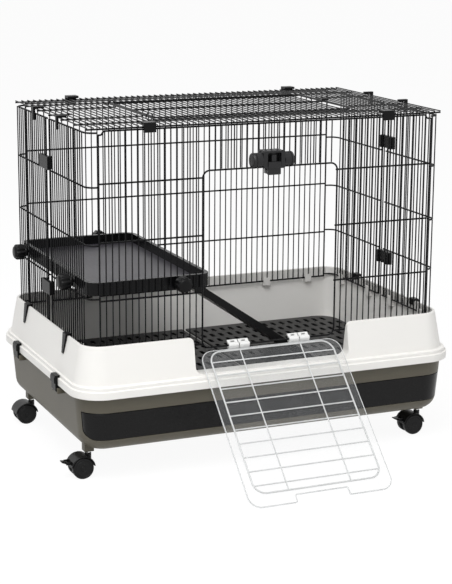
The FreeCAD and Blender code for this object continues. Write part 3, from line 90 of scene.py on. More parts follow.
def configured(thing, **options):
    """The thing, with some of its properties set."""
    for option, value in options.items():
        setattr(thing, option, value)
    return thing


# Settings


def length(name, description, millimetres):
    return FloatProperty(name=name, description=description, default=millimetres * MM, unit="LENGTH", precision=4)


def colour(name, description, red, green, blue):
    return FloatVectorProperty(name=name, description=description, default=(red, green, blue), size=3,
                               min=0.0, max=1.0, subtype="COLOR")


def share(name, description, value):
    return FloatProperty(name=name, description=description, default=value, min=0.0, max=1.0, subtype="FACTOR")


def power(name, description, watts):
    return FloatProperty(name=name, description=description, default=watts, min=0.0, subtype="POWER")


class WireSettings(PropertyGroup):
    """Sizes of the wire walls, the roof and the hatch."""

    thin: length("Thin wire", "Radius of the upright wires", 1.25)
    thick: length("Thick wire", "Radius of the rails and end wires", 1.75)
    seam_wire: length("Seam wire", "Radius of the two upright wires at each side seam", 2.1)
    pitch: length("Pitch", "Spacing of the upright wires", 13)
    end_x: length("Front end", "Half the length of the front and back panels", 349.5)
    side_x: length("Side face", "Half the length of the cage over its side wires", 374)
    front_y: length("Front face", "Half the width of the cage over its front wires", 229)
    corner: length("Corner bend", "Radius of the side rails where they turn the corner", 19)
    seam: length("Seam", "Half the gap between the two halves of a side wall", 12)
    door_half: length("Doorway half", "Half the length of the doorway frame", 142)
    door_low: length("Hinge rod height", "Height of the rod that the door hangs on", 243)
    door_high: length("Doorway top", "Height of the doorway frame's upper run", 589)
    door_bend: length("Doorway bend", "Radius of the doorway frame's corners", 14)
    top: length("Wall top", "Height of the front and back panels' top rail", 673)
    jog: length("Rail jog", "How far the front top rail drops at its ends", 7)
    hatch_left: length("Hatch left", "Place of the hatch frame's hinge side", -200)
    hatch_right: length("Hatch right", "Place of the hatch frame's free side", 225)
    hatch_half: length("Hatch half width", "Half the width of the hatch frame", 130)
    hatch_gap: length("Hatch gap", "Gap between the hatch frame and its opening", 7)


class FormSettings(PropertyGroup):
    """Sizes of the details that are added to the mouldings."""

    ease: length("Eased edge", "Rounding of the moulded edges", 0.9)
    slot_length: length("Grate slot length", "Length of one slot in the floor grates, front to back", 24)
    slot_width: length("Grate slot width", "Width of one slot in the floor grates", 8.5)
    slot_step_x: length("Grate step along", "Spacing of the grate slots along the cage", 20.7)
    slot_step_y: length("Grate step across", "Spacing of the grate slots across the cage", 41)
    door_rib: length("Door rib", "Radius of the ribs on the clear door", 1.3)
    door_frame: length("Door frame rib", "Radius of the rib that runs round the clear door", 1.7)
    door_lip: length("Door lip", "Radius of the lip along the clear door's edge", 0.8)
    wheel_sides: IntProperty(name="Wheel sides", description="Steps round a caster wheel", default=56, min=16)
    flutes: IntProperty(name="Knob flutes", description="Flutes round a shelf knob", default=10, min=4)


class FinishSettings(PropertyGroup):
    """Colours of the finishes."""

    wire: colour("Wire", "Black coating of the wires", 0.0035, 0.0035, 0.004)
    clip: colour("Clip", "Black plastic of the clips, knobs, ramp and shelf rim", 0.0035, 0.0035, 0.0038)
    latch: colour("Latch", "Black plastic of the door latch", 0.012, 0.012, 0.013)
    tub: colour("Tub", "Warm white plastic of the tub", 0.83, 0.818, 0.79)
    base: colour("Base", "Grey plastic of the base", 0.1, 0.091, 0.068)
    drawer: colour("Drawer", "Dark plastic of the drawer", 0.004, 0.0038, 0.0038)
    grate: colour("Grate", "Black plastic of the floor grates", 0.0045, 0.0045, 0.0047)
    # The shelf's colour is lifted well above the black of its rim as a painted reflection of the backdrop on its floor
    shelf: colour("Shelf", "Dark plastic of the shelf", 0.036, 0.034, 0.041)
    clear: colour("Clear door", "Tint of the clear door", 0.86, 0.88, 0.9)
    # The ribs' pale colour is a painted reflection of the backdrop in the clear ribs
    rib: colour("Door rib", "Pale ribs of the clear door", 0.68, 0.69, 0.69)
    hinge: colour("Hinge clip", "White plastic of the door's hinge clips", 0.8, 0.8, 0.79)
    steel: colour("Steel", "Plated steel of the caster stems", 0.72, 0.72, 0.7)
    caster: colour("Caster", "Black plastic of the casters", 0.0045, 0.0045, 0.0047)


class StageSettings(PropertyGroup):
    """Light and floor."""

    surround: share("Surround", "Strength of the soft light from all round", 0.34)
    key: power("Key light", "Power of the large soft light", 48.0)
    fill: power("Fill light", "Power of the light from the right", 10.0)
    top: power("Top light", "Power of the light above the roof", 41.0)
    floor_glow: share("Floor white", "How far the floor is lifted to white in the picture", 0.9)


class CageSettings(PropertyGroup):
    """All settings of the rabbit cage."""

    wires: PointerProperty(type=WireSettings)
    forms: PointerProperty(type=FormSettings)
    finishes: PointerProperty(type=FinishSettings)
    stage: PointerProperty(type=StageSettings)


def settings():
    return bpy.context.scene.rabbit_cage


# Materials


class Value:
    """A number socket of a node tree. Arithmetic on it adds Math nodes."""

    def __init__(self, nodes, socket):
        self.nodes = nodes
        self.socket = socket

    def _math(self, operation, first, second):
        node = self.nodes.node("Math", {0: first, 1: second}, operation=operation)
        return Value(self.nodes, node.outputs[0])

    def __add__(self, other):
        return self._math("ADD", self, other)

    def __radd__(self, other):
        return self._math("ADD", other, self)

    def __mul__(self, other):
        return self._math("MULTIPLY", self, other)

    def either(self, other):
        """The greater of two values."""
        return self._math("MAXIMUM", self, other)


class Nodes:
    """A node tree, emptied but for its output, and the nodes that are added to it."""

    def __init__(self, tree, output):
        self.tree = tree
        self.tree.nodes.clear()
        self.output = self.node(output)

    def node(self, kind, sockets=None, **options):
        made = configured(self.tree.nodes.new(f"ShaderNode{kind}"), **options)
        for socket, value in (sockets or {}).items():
            self.feed(made.inputs[socket], value)
        return made

    def feed(self, target, value):
        if isinstance(value, Value):
            value = value.socket
        if isinstance(value, bpy.types.NodeSocket):
            self.tree.links.new(value, target)
        elif target.type == "RGBA" and len(value) == 3:
            target.default_value = (*value, 1)
        else:
            target.default_value = value

    def show(self, shader):
        self.tree.links.new(shader.outputs[0], self.output.inputs["Surface"])

    def backdrop_rays(self):
        """1 for the rays that show the white backdrop: camera, glossy and transmission rays."""
        path = self.node("LightPath")
        seen = Value(self, path.outputs["Is Camera Ray"])
        for ray in ("Is Glossy Ray", "Is Transmission Ray"):
            seen = seen.either(Value(self, path.outputs[ray]))
        return seen


class Finish(Nodes):
    """A material and the patterns that vary over its surface."""

    def __init__(self, name):
        self.material = bpy.data.materials.new(name)
        self.material.use_nodes = True
        super().__init__(self.material.node_tree, "OutputMaterial")

    def noise(self, scale, detail=2.0, roughness=0.5, stretch=None):
        """Noise over the piece. With a stretch, it is drawn out along the axes that have the smaller numbers."""
        where = self.node("TexCoord").outputs["Object"]
        if stretch:
            where = self.node("VectorMath", {0: where, 1: stretch}, operation="MULTIPLY").outputs[0]
        made = self.node("TexNoise", {"Vector": where, "Scale": scale, "Detail": detail, "Roughness": roughness})
        return Value(self, made.outputs["Fac"])

    def blend(self, amount, shade, low, high):
        """A colour that goes from one tint to another, each lighter or darker than the shade by a share."""
        first, second = (tuple(min(1.0, channel * (1 + tint)) for channel in shade) for tint in (low, high))
        made = self.node("Mix", {"Factor": amount, 6: first, 7: second}, data_type="RGBA")
        return made.outputs[2]

    def bump(self, height, depth, strength):
        """A normal from a height. The depth is in millimetres."""
        made = self.node("Bump", {"Strength": strength, "Distance": depth * MM, "Height": height})
        return made.outputs["Normal"]

    def surface(self, sockets):
        self.show(self.node("BsdfPrincipled", sockets))


def moulded(made, shade, roughness, grain, depth, mottle, shine):
    """Moulded plastic: fine spark grain, slow changes of tone and faint flow marks."""
    spark = made.noise(grain, 3, 0.6)
    cloud = made.noise(9, 3)
    flow = made.noise(5, 2, stretch=(3, 3, 22))
    made.surface({
        "Base Color": made.blend(cloud * 0.65 + flow * 0.35, shade, -mottle, mottle),
        "Roughness": roughness - 0.06 + spark * 0.08 + cloud * 0.06,
        "Specular IOR Level": shine,
        "Normal": made.bump(spark, depth, 0.7),
    })


def coated_wire(made, shade):
    """Black coating over drawn wire, with the slight orange peel and thin spots of dipped paint."""
    peel = made.noise(900)
    pools = made.noise(60, 3)
    made.surface({
        "Base Color": made.blend(pools, shade, -0.25, 0.6),
        "Roughness": 0.26 + pools * 0.16,
        "Specular IOR Level": 0.12,
        "Normal": made.bump(peel, 0.06, 0.6),
    })


def brushed_shelf_with_painted_reflection(made, shade):
    """Dark shelf plastic with fine streaks from front to back, which catch the light. Its colour, well above the rim's
    black, is a painted reflection of the backdrop.
    """
    streak = made.noise(2, 4, 0.65, stretch=(260, 26, 60))
    cloud = made.noise(11, 3)
    spark = made.noise(1300)
    made.surface({
        "Base Color": made.blend(streak, shade, -0.35, 0.5),
        "Roughness": 0.26 + streak * 0.18 + cloud * 0.08,
        "Normal": made.bump(streak * 0.7 + spark * 0.3, 0.06, 0.6),
    })


def clear_sheet(made, shade):
    """Clear styrene: mostly open, milky where it is scuffed, and brighter at a glancing angle, where more of its pale
    colour shows as a painted reflection.
    """
    scuff = made.noise(5, 3, stretch=(8, 2, 2))
    cloud = made.noise(6)
    painted_glancing_reflection = Value(made, made.node("Fresnel", {"IOR": 1.45}).outputs[0])
    made.surface({
        "Base Color": made.blend(cloud, shade, -0.04, 0),
        "Roughness": 0.05 + scuff * 0.1,
        # The glancing term lets more of the pale colour show, as a painted reflection
        "Alpha": 0.015 + scuff * 0.02 + painted_glancing_reflection * 0.22,
        "IOR": 1.5,
    })


def clear_edge(made, shade):
    """Edge of the clear sheet, where light gathers and makes a pale line."""
    ripple = made.noise(55, 3)
    made.surface({
        "Base Color": made.blend(ripple, shade, -0.2, -0.04),
        "Roughness": 0.14 + ripple * 0.12,
        "Alpha": 0.66 + ripple * 0.24,
        "IOR": 1.5,
    })


def pale_rib_painted_reflection(made, shade):
    """Ribs of the clear door, given a pale colour and part opacity as a painted reflection of the backdrop, so they
    show pale on dark and grey on white.
    """
    rib_grain = made.noise(700, 3)
    cloud = made.noise(30)
    made.surface({
        "Base Color": made.blend(cloud, shade, -0.12, 0.15),
        "Roughness": 0.22 + rib_grain * 0.2,
        "Alpha": 0.72 + cloud * 0.2,
        "Normal": made.bump(rib_grain, 0.04, 0.6),
    })


def plated_steel(made, shade):
    """Bright plated steel with drawn lines along the stem."""
    drawn = made.noise(3, 3, stretch=(500, 500, 20))
    haze = made.noise(50)
    made.surface({
        "Base Color": made.blend(haze, shade, -0.15, 0),
        "Metallic": 1.0,
        "Roughness": 0.16 + drawn * 0.16,
        "Normal": made.bump(drawn, 0.02, 0.5),
    })


def caster_tread(made, shade):
    """Caster tread plastic with scuffs round the rolling face."""
    scuff = made.noise(2, 4, 0.7, stretch=(40, 400, 40))
    spark = made.noise(1500)
    made.surface({
        "Base Color": made.blend(scuff, shade, -0.2, 0.9),
        "Roughness": 0.36 + scuff * 0.22,
        "Specular IOR Level": 0.2,
        "Normal": made.bump(spark * 0.4 + scuff * 0.6, 0.05, 0.6),
    })


# Maker, colour setting and material's name of each finish, and for a moulded one its roughness, scale and depth of the
# grain, mottle and specular level
MAKERS = {
    "wire": (coated_wire, "wire", "coated_wire"),
    "clip": (moulded, "clip", "black_clip_plastic", 0.34, 1300, 0.04, 0.25, 0.14),
    "latch": (moulded, "latch", "latch_plastic", 0.3, 1500, 0.03, 0.2, 0.3),
    "tub": (moulded, "tub", "tub_plastic", 0.4, 1100, 0.03, 0.012, 0.5),
    "base": (moulded, "base", "base_plastic", 0.45, 1000, 0.05, 0.04, 0.3),
    "drawer": (moulded, "drawer", "drawer_plastic", 0.26, 1200, 0.03, 0.15, 0.2),
    "grate": (moulded, "grate", "grate_plastic", 0.36, 1200, 0.05, 0.3, 0.26),
    "shelf": (brushed_shelf_with_painted_reflection, "shelf", "shelf_plastic"),
    "rim": (moulded, "clip", "shelf_rim_plastic", 0.2, 1300, 0.03, 0.2, 0.14),
    "clear": (clear_sheet, "clear", "clear_plastic_sheet"),
    "edge": (clear_edge, "clear", "clear_plastic_edge"),
    # Pale door ribs: painted reflection
    "rib": (pale_rib_painted_reflection, "rib", "frosted_door_rib"),
    "hinge": (moulded, "hinge", "hinge_plastic", 0.3, 1400, 0.03, 0.02, 0.5),
    "steel": (plated_steel, "steel", "plated_steel"),
    "caster": (moulded, "caster", "caster_plastic", 0.32, 1300, 0.04, 0.25, 0.2),
    "tread": (caster_tread, "caster", "caster_tread"),
}
FINISHES = {}


def finish(name):
    """The named material, made once from the colours in the settings."""
    if name not in FINISHES:
        maker, shade, material, *look = MAKERS[name]
        made = Finish(material)
        maker(made, getattr(settings().finishes, shade), *look)
        FINISHES[name] = made.material
    return FINISHES[name]


# Shapes


def spread(low, high, pitch):
    """Evenly spaced places from low to high, about a pitch apart, both ends included."""
    count = max(1, round((high - low) / pitch))
    return [low + (high - low) * index / count for index in range(count + 1)]


def arc(radius, turns):
    """Points at the given turns on a circle about the origin."""
    return [(radius * math.cos(turn), radius * math.sin(turn)) for turn in turns]


def bent(points, radius, closed=False, steps=8):
    """The run of points with each inner corner turned into a round bend."""
    spots = [Vector(point) for point in points]
    count = len(spots)
    run = []
    for index, here in enumerate(spots):
        if not closed and index in (0, count - 1):
            run.append(here)
            continue
        back = (spots[index - 1] - here).normalized()
        ahead = (spots[(index + 1) % count] - here).normalized()
        half = (math.pi - back.angle(ahead)) / 2
        middle = (back + ahead).normalized()
        side = (ahead - back).normalized()
        centre = here + middle * (radius / math.cos(half))
        for step in range(steps + 1):
            angle = half * (2 * step / steps - 1)
            run.append(centre - middle * (radius * math.cos(angle)) + side * (radius * math.sin(angle)))
    return run


def box_outline(left, low, right, high, radius, steps=3):
    """A flat box with rounded corners."""
    corners = ((left, low, 0), (right, low, 0), (right, high, 0), (left, high, 0))
    return bent(corners, radius, closed=True, steps=steps)


def hoop(half, low, high, y, bend, radius):
    """A closed run of wire bent into an upright frame about the middle of the cage."""
    return [(x, y, z) for x, z, _ in box_outline(-half, low, half, high, bend, steps=8)], radius, True


def linked(name, data):
    """A new object in the scene."""
    made = bpy.data.objects.new(name, data)
    bpy.context.scene.collection.objects.link(made)
    return made


def drawn(name, runs, **shape):
    """The mesh that a curve draws. Each run is its points, its radius and whether it closes on itself."""
    curve = configured(bpy.data.curves.new(name, "CURVE"), **shape)
    for points, radius, closed in runs:
        spline = curve.splines.new("POLY")
        spline.points.add(len(points) - 1)
        for spot, point in zip(spline.points, points):
            spot.co = (*point, 1.0)
            spot.radius = radius
        spline.use_cyclic_u = closed
    holder = linked(name, curve)
    bpy.context.view_layer.update()
    mesh = bpy.data.meshes.new_from_object(holder.evaluated_get(bpy.context.evaluated_depsgraph_get()))
    bpy.data.objects.remove(holder)
    bpy.data.curves.remove(curve)
    mesh.name = name
    return mesh


def round_wires(name, runs):
    """One mesh of round wires."""
    return drawn(name, runs, dimensions="3D", bevel_depth=1.0, bevel_resolution=3, use_fill_caps=True)


def sheet(name, outline, holes, thickness, ease, place):
    """A flat sheet with holes and eased edges, drawn about the ground plane and set in its place."""
    runs = [(loop, 1.0, True) for loop in [outline] + [hole[::-1] for hole in holes]]
    mesh = drawn(name, runs, dimensions="2D", fill_mode="BOTH", extrude=thickness / 2 - ease, bevel_depth=ease,
                 bevel_resolution=1, offset=-ease)
    mesh.transform(place)
    return mesh


def baked(name, form):
    """The mesh of a form, which is freed."""
    mesh = bpy.data.meshes.new(name)
    form.to_mesh(mesh)
    form.free()
    return mesh


def joined(name, meshes):
    """One mesh made of several, which are taken away."""
    form = bmesh.new()
    for mesh in meshes:
        form.from_mesh(mesh)
        bpy.data.meshes.remove(mesh)
    return baked(name, form)


def turned(name, profile, sides, flutes=0):
    """A form turned about Z from points of radius, height and flute depth, if any, in millimetres."""
    form = bmesh.new()
    rings = []
    for radius, height, *flute in profile:
        if radius == 0:
            rings.append([form.verts.new((0, 0, height * MM))])
            continue
        depth = flute[0] if flute else 0
        ring = []
        for step in range(sides):
            angle = 2 * math.pi * step / sides
            reach = (radius - depth * (0.5 - 0.5 * math.cos(flutes * angle))) * MM
            ring.append(form.verts.new((reach * math.cos(angle), reach * math.sin(angle), height * MM)))
        rings.append(ring)
    for first, second in zip(rings, rings[1:]):
        for step in range(sides):
            following = (step + 1) % sides
            corners = [first[step % len(first)], first[following % len(first)],
                       second[following % len(second)], second[step % len(second)]]
            form.faces.new(list(dict.fromkeys(corners)))
    bmesh.ops.recalc_face_normals(form, faces=form.faces[:])
    return baked(name, form)


def piece(name, mesh, node, slot, *finishes, extra=False, sharp=35):
    """A finished piece that rides on the body of a CAD node and, unless it is an extra, stands for that node."""
    made = linked(name, mesh)
    mesh.materials.clear()
    for each in finishes:
        mesh.materials.append(finish(each))
    mesh.polygons.foreach_set("use_smooth", [True] * len(mesh.polygons))
    mesh.set_sharp_from_angle(angle=math.radians(sharp))
    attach(made, frame["nodes"][node]["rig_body"])
    if not extra:
        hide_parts(node)
    return made


# Points and faces that count as one, the least angle of a sharp edge, and the least length of the edges beside it in
# widths of its rounding
SAME_POINT = 2e-6
SAME_FACE = math.radians(0.3)
SHARP_EDGE = math.radians(28)
EDGE_ROOM = 2.2


def eased(node, finish_name, slot, ease=None, segments=2):
    """A copy of a moulded CAD piece whose sharp edges are rounded, standing for that piece."""
    form = bmesh.new()
    form.from_mesh(frame["nodes"][node].data)
    bmesh.ops.remove_doubles(form, verts=form.verts[:], dist=SAME_POINT)
    bmesh.ops.dissolve_limit(form, angle_limit=SAME_FACE, verts=form.verts[:], edges=form.edges[:])
    width = settings().forms.ease if ease is None else ease
    weights = []
    for edge in form.edges:
        sharp = edge.calc_face_angle(0) > SHARP_EDGE
        room = all(near.calc_length() > EDGE_ROOM * width for vert in edge.verts for near in vert.link_edges)
        weights.append(1.0 if sharp and room else 0.0)
    mesh = baked(f"{node}_form", form)
    mesh.attributes.new("bevel_weight_edge", "FLOAT", "EDGE").data.foreach_set("value", weights)
    if "custom_normal" in mesh.attributes:
        mesh.attributes.remove(mesh.attributes["custom_normal"])
    made = piece(f"{node}_moulding", mesh, node, slot, finish_name)
    configured(made.modifiers.new("eased_edges", "BEVEL"), limit_method="WEIGHT", width=width, segments=segments,
               use_clamp_overlap=False)
    made.modifiers.new("even_shading", "WEIGHTED_NORMAL").keep_sharp = True
    return made


# Wire walls


# Gap at a weld, heights of the rails, and the drop at the ends of the front top rail
WELD = 0.02 * MM
FRONT_LEVELS = mm(250, 353, 464, 575)
SIDE_LEVELS = mm(254.5, 357.5, 459.5, 569, 670)
JOG_LENGTH, JOG_SLOPE, JOG_BEND = mm(12, 5, 3)


def wall_places():
    """Planes that the wires lie in, from the sizes in the settings."""
    wires = settings().wires
    rail_set = 2 * wires.thick + WELD
    thin_set = wires.thick - wires.thin
    return {
        "rail_x": wires.side_x - rail_set, "rail_y": wires.front_y - rail_set,
        "thin_x": wires.side_x - thin_set, "thin_y": wires.front_y - thin_set,
        "tip": wires.thick / 2, "reach": wires.thick / math.cos(math.pi / 6),
    }


def straight(start, end, radius):
    """A straight run of wire."""
    return (start, end), radius, False


def upright(x, y, low, high, radius):
    """A run of wire that stands upright."""
    return straight((x, y, low), (x, y, high), radius)


def wire_piece(name, runs, node):
    """A piece of round wires that stands for a CAD node."""
    piece(name, round_wires(name, runs), node, "black_wire", "wire")


class CAGE_OT_front_wall(Operator):
    """Front and back wire panels"""

    bl_idname = "rabbit_cage.front_wall"
    bl_label = "Front and back walls"

    def execute(self, context):
        wires, at = settings().wires, wall_places()
        foot, head = FRONT_LEVELS[0] - wires.thick, wires.top + wires.thick
        thin_y, rail_y, end = at["thin_y"], at["rail_y"], wires.end_x - at["tip"]
        jog_x, low_head = wires.end_x - JOG_LENGTH, head - wires.jog
        runs = []
        for hand in (-1, 1):
            for x in spread(wires.door_half, wires.end_x, wires.pitch)[1:-1]:
                runs.append(upright(hand * x, -thin_y, foot, head if x < jog_x else low_head, wires.thin))
            runs.append(upright(hand * wires.end_x, -wires.front_y, foot, low_head, wires.thick))
            inner = wires.door_half - at["tip"]
            for z in FRONT_LEVELS:
                runs.append(straight((hand * inner, -rail_y, z), (hand * end, -rail_y, z), wires.thick))
        for x in spread(-wires.door_half, wires.door_half, wires.pitch)[1:-1]:
            runs.append(upright(x, -thin_y, wires.door_high + at["reach"], head, wires.thin))
        low = wires.top - wires.jog
        half = [(jog_x, wires.top), (jog_x + JOG_SLOPE, low), (end, low)]
        run = [(-x, -rail_y, z) for x, z in reversed(half)] + [(x, -rail_y, z) for x, z in half]
        runs.append((bent(run, JOG_BEND, steps=3), wires.thick, False))
        wire_piece("front_wall_wires", runs, "front_panel")

        places = spread(-wires.end_x, wires.end_x, wires.pitch)
        runs = [upright(x, thin_y, foot, head, wires.thin) for x in places[1:-1]]
        runs += [upright(x, wires.front_y, foot, head, wires.thick) for x in (places[0], places[-1])]
        runs += [straight((-end, rail_y, z), (end, rail_y, z), wires.thick) for z in FRONT_LEVELS + [wires.top]]
        wire_piece("back_wall_wires", runs, "back_panel")
        return {"FINISHED"}


class CAGE_OT_side_walls(Operator):
    """Four half panels of the side walls, whose rails bend round the corners"""

    bl_idname = "rabbit_cage.side_walls"
    bl_label = "Side walls"

    def execute(self, context):
        for hand, side in SIDES:
            for depth, end in ENDS:
                wire_piece(f"{side}_{end}_wall_wires", self.half_wall(hand, depth), f"{side}_{end}_panel")
        return {"FINISHED"}

    def half_wall(self, hand, depth):
        wires, at = settings().wires, wall_places()
        foot, head = SIDE_LEVELS[0] - wires.thick, SIDE_LEVELS[-1] + wires.thick
        runs = [upright(hand * at["thin_x"], depth * y, foot, head, wires.thin)
                for y in spread(wires.seam, at["rail_y"] - wires.corner, wires.pitch)[1:]]
        runs.append(upright(hand * wires.side_x, depth * wires.seam, foot, head, wires.seam_wire))
        for z in SIDE_LEVELS:
            corner = ((hand * at["rail_x"], depth * (wires.seam - at["tip"]), z),
                      (hand * at["rail_x"], depth * at["rail_y"], z),
                      (hand * (wires.end_x + at["tip"]), depth * at["rail_y"], z))
            runs.append((bent(corner, wires.corner), wires.thick, False))
        return runs


class CAGE_OT_doorway(Operator):
    """Bent wire frame round the doorway, with the hinge rod as its lower run"""

    bl_idname = "rabbit_cage.doorway"
    bl_label = "Doorway frame"

    def execute(self, context):
        wires = settings().wires
        size = wires.door_half, wires.door_low, wires.door_high
        runs = [hoop(*size, -wires.front_y, wires.door_bend, wires.thick)]
        wire_piece("doorway_wire", runs, "doorway_frame")
        return {"FINISHED"}


# Roof: the short rail at its left end and the rails between its edge and the hatch
ROOF_STUB, ROOF_RAIL_Y, ROOF_RAIL_PITCH = mm(48, 153, 76)
# Hatch: its hinge rings and the lap of its tongue
RING_RADIUS, RING_Y, TONGUE_LAP = mm(6.9, 108, 4)
RING_STEPS = 28


def roof_levels():
    """Heights of the roof's rails and of the wires that lie on them."""
    wires, at = settings().wires, wall_places()
    rail_z = wires.top + at["reach"] + WELD + wires.thick
    return rail_z, rail_z + wires.thick + WELD + wires.thin


class CAGE_OT_roof(Operator):
    """Roof wires with the opening for the hatch"""

    bl_idname = "rabbit_cage.roof"
    bl_label = "Roof"

    def execute(self, context):
        wires, at = settings().wires, wall_places()
        rail_z, wire_z = roof_levels()
        left, right = wires.hatch_left - wires.hatch_gap, wires.hatch_right + wires.hatch_gap
        half, tip = wires.hatch_half + wires.hatch_gap, at["tip"]
        reach, end = at["rail_y"] + wires.thick, at["rail_x"] + wires.thin
        runs = []
        for x in spread(-at["rail_x"], left, wires.pitch) + spread(right, at["rail_x"], wires.pitch):
            runs.append(straight((x, -reach, wire_z), (x, reach, wire_z), wires.thin))
        for x in spread(left, right, wires.pitch)[1:-1]:
            for depth in (-1, 1):
                runs.append(straight((x, depth * (half - tip), wire_z), (x, depth * reach, wire_z), wires.thin))
        rails = [(-end, ROOF_STUB - end, 0)]
        for depth in (-1, 1):
            rails += [(-end, end, depth * at["rail_y"]), (-end, end, depth * ROOF_RAIL_Y),
                      (left - tip, right + tip, depth * half),
                      (-end, left + tip, depth * ROOF_RAIL_PITCH), (right - tip, end, depth * ROOF_RAIL_PITCH)]
        runs += [straight((low, y, rail_z), (high, y, rail_z), wires.thick) for low, high, y in rails]
        wire_piece("roof_wires", runs, "top_panel")
        return {"FINISHED"}


class CAGE_OT_hatch(Operator):
    """Lift-up hatch in the roof with its rings and tongue"""

    bl_idname = "rabbit_cage.hatch"
    bl_label = "Roof hatch"

    def execute(self, context):
        wires, at = settings().wires, wall_places()
        wire_z = roof_levels()[1]
        half, left, right = wires.hatch_half, wires.hatch_left, wires.hatch_right
        corners = [(x, y, wire_z) for x, y in ((right, -half), (right, half), (left, half), (left, -half))]
        runs = [(bent(corners, wires.door_bend, closed=True), wires.thick, True)]
        bar_z, bar_end = wire_z - wires.thick - wires.thin - WELD, half + at["tip"]
        runs += [straight((x, -bar_end, bar_z), (x, bar_end, bar_z), wires.thin)
                 for x in spread(left, right, wires.pitch)[1:-1]]
        runs.append(straight((left, 0, wire_z), (right, 0, wire_z), wires.thick))
        tongue_z, tongue_end = wire_z + 2 * wires.thick, right + wires.hatch_gap + TONGUE_LAP
        runs.append(straight((right - TONGUE_LAP, 0, tongue_z), (tongue_end, 0, tongue_z), wires.thick))
        rod_x = left - wires.hatch_gap / 2
        round_rod = arc(RING_RADIUS, spread(0, 2 * math.pi, 2 * math.pi / RING_STEPS)[:-1])
        for depth in (-1, 1):
            runs.append(([(rod_x + x, depth * RING_Y, wire_z + z) for x, z in round_rod], wires.thin, True))
        wire_piece("roof_hatch_wires", runs, "top_hatch")
        return {"FINISHED"}


# Mouldings


# Basin of the tub: its draft, its height, and the middles of its corners and their radius at the top
BASIN_DRAFT = math.radians(8.5)
BASIN_TOP, BASIN_X, BASIN_Y, BASIN_CORNER = mm(269, 343, 200, 36)
# Its corner walls: head, foot, how far they run on along the sides and how far their faces lie behind the basin's
CORNER_HEAD, CORNER_FOOT, CORNER_LAP, CORNER_NEAR, CORNER_FAR = mm(178, 153, 16, 0.15, 2.8)


class CAGE_OT_tub(Operator):
    """White tub"""

    bl_idname = "rabbit_cage.tub"
    bl_label = "Tub"

    def execute(self, context):
        eased("upper_tub", "tub", "white_plastic", ease=1.2 * MM, segments=3)
        form = bmesh.new()
        for hand in (-1, 1):
            for depth in (-1, 1):
                self.corner_wall(form, hand, depth)
        bmesh.ops.recalc_face_normals(form, faces=form.faces[:])
        mesh = baked("tub_corner_walls", form)
        piece("tub_corner_walls", mesh, "upper_tub", "white_plastic", "tub", extra=True)
        return {"FINISHED"}

    def corner_wall(self, form, hand, depth):
        """Lower part of the basin's wall at one corner, from the ledge up."""
        rings = []
        for z, back in ((CORNER_FOOT, CORNER_NEAR), (CORNER_HEAD, CORNER_NEAR),
                        (CORNER_HEAD, CORNER_FAR), (CORNER_FOOT, CORNER_FAR)):
            radius = BASIN_CORNER - (BASIN_TOP - z) * math.tan(BASIN_DRAFT) + back
            run = [(radius, -CORNER_LAP)] + arc(radius, spread(0, math.pi / 2, 0.1)) + [(-CORNER_LAP, radius)]
            rings.append([form.verts.new((hand * (BASIN_X + x), depth * (BASIN_Y + y), z)) for x, y in run])
        for first, second in zip(rings, rings[1:] + rings[:1]):
            for step in range(len(first) - 1):
                form.faces.new((first[step], first[step + 1], second[step + 1], second[step]))
        for end in (0, -1):
            form.faces.new([ring[end] for ring in rings])


class CAGE_OT_base(Operator):
    """Grey base tray and its drawer"""

    bl_idname = "rabbit_cage.base"
    bl_label = "Base and drawer"

    def execute(self, context):
        eased("base_tray", "base", "grey_plastic")
        eased("drawer", "drawer", "black_gloss_plastic")
        return {"FINISHED"}


# Floor grates: plain border round the slots, outer corners, rounding of the edges and of the slots' ends
GRATE_BORDER, GRATE_CORNER, GRATE_EASE = mm(8, 44, 0.8)
GRATE_ROUND = 0.85


class CAGE_OT_grates(Operator):
    """Floor grates with their rows of small holes"""

    bl_idname = "rabbit_cage.grates"
    bl_label = "Floor grates"

    def execute(self, context):
        for hand, side in SIDES:
            node = f"floor_grate_{side}"
            low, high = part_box(node)
            inner, outer = (high.x, low.x) if hand < 0 else (low.x, high.x)
            points = [(inner, low.y, 0), (outer, low.y, 0), (outer, high.y, 0), (inner, high.y, 0)]
            outline = [points[0]] + bent(points, GRATE_CORNER)[1:-1] + [points[3]]
            if hand < 0:
                outline.reverse()
            mesh = sheet(f"{side}_grate", outline, self.slots(low, high, hand, outer), high.z - low.z, GRATE_EASE,
                         Matrix.Translation((0, 0, (low.z + high.z) / 2)))
            piece(f"{side}_floor_grate", mesh, node, "black_plastic", "grate")
        return {"FINISHED"}

    def slots(self, low, high, hand, outer):
        """Rows of slots, without those that would break into a rounded outer corner."""
        forms, middle, size = settings().forms, (low + high) / 2, high - low
        half_x, half_y = forms.slot_width / 2, forms.slot_length / 2
        columns = int((size.x - 2 * GRATE_BORDER - forms.slot_width) / forms.slot_step_x) + 1
        rows = int((size.y - 2 * GRATE_BORDER - forms.slot_length) / forms.slot_step_y) + 1
        holes = []
        for column in range(columns):
            for row in range(rows):
                x = middle.x + (column - (columns - 1) / 2) * forms.slot_step_x
                y = middle.y + (row - (rows - 1) / 2) * forms.slot_step_y
                far_x = max(0, hand * (x - outer) + half_x + GRATE_CORNER)
                far_y = max(0, abs(y) + half_y - high.y + GRATE_CORNER)
                if math.hypot(far_x, far_y) < GRATE_CORNER - GRATE_BORDER:
                    holes.append(box_outline(x - half_x, y - half_y, x + half_x, y + half_y, GRATE_ROUND * half_x))
        return holes


# Clear door, upright about its hinge rod: its edges, corners and latch notch, its sheet, and how far it is lowered
DOOR_HALF, DOOR_LOW, DOOR_HIGH, DOOR_CORNER = mm(150, 6, 349, 25)
NOTCH_HALF, NOTCH_DEPTH, NOTCH_BEND = mm(54, 16, 4)
DOOR_SHEET, DOOR_EASE, DOOR_FACE = mm(3, 0.9, -3.2)
DOOR_SWING = math.radians(133.034)
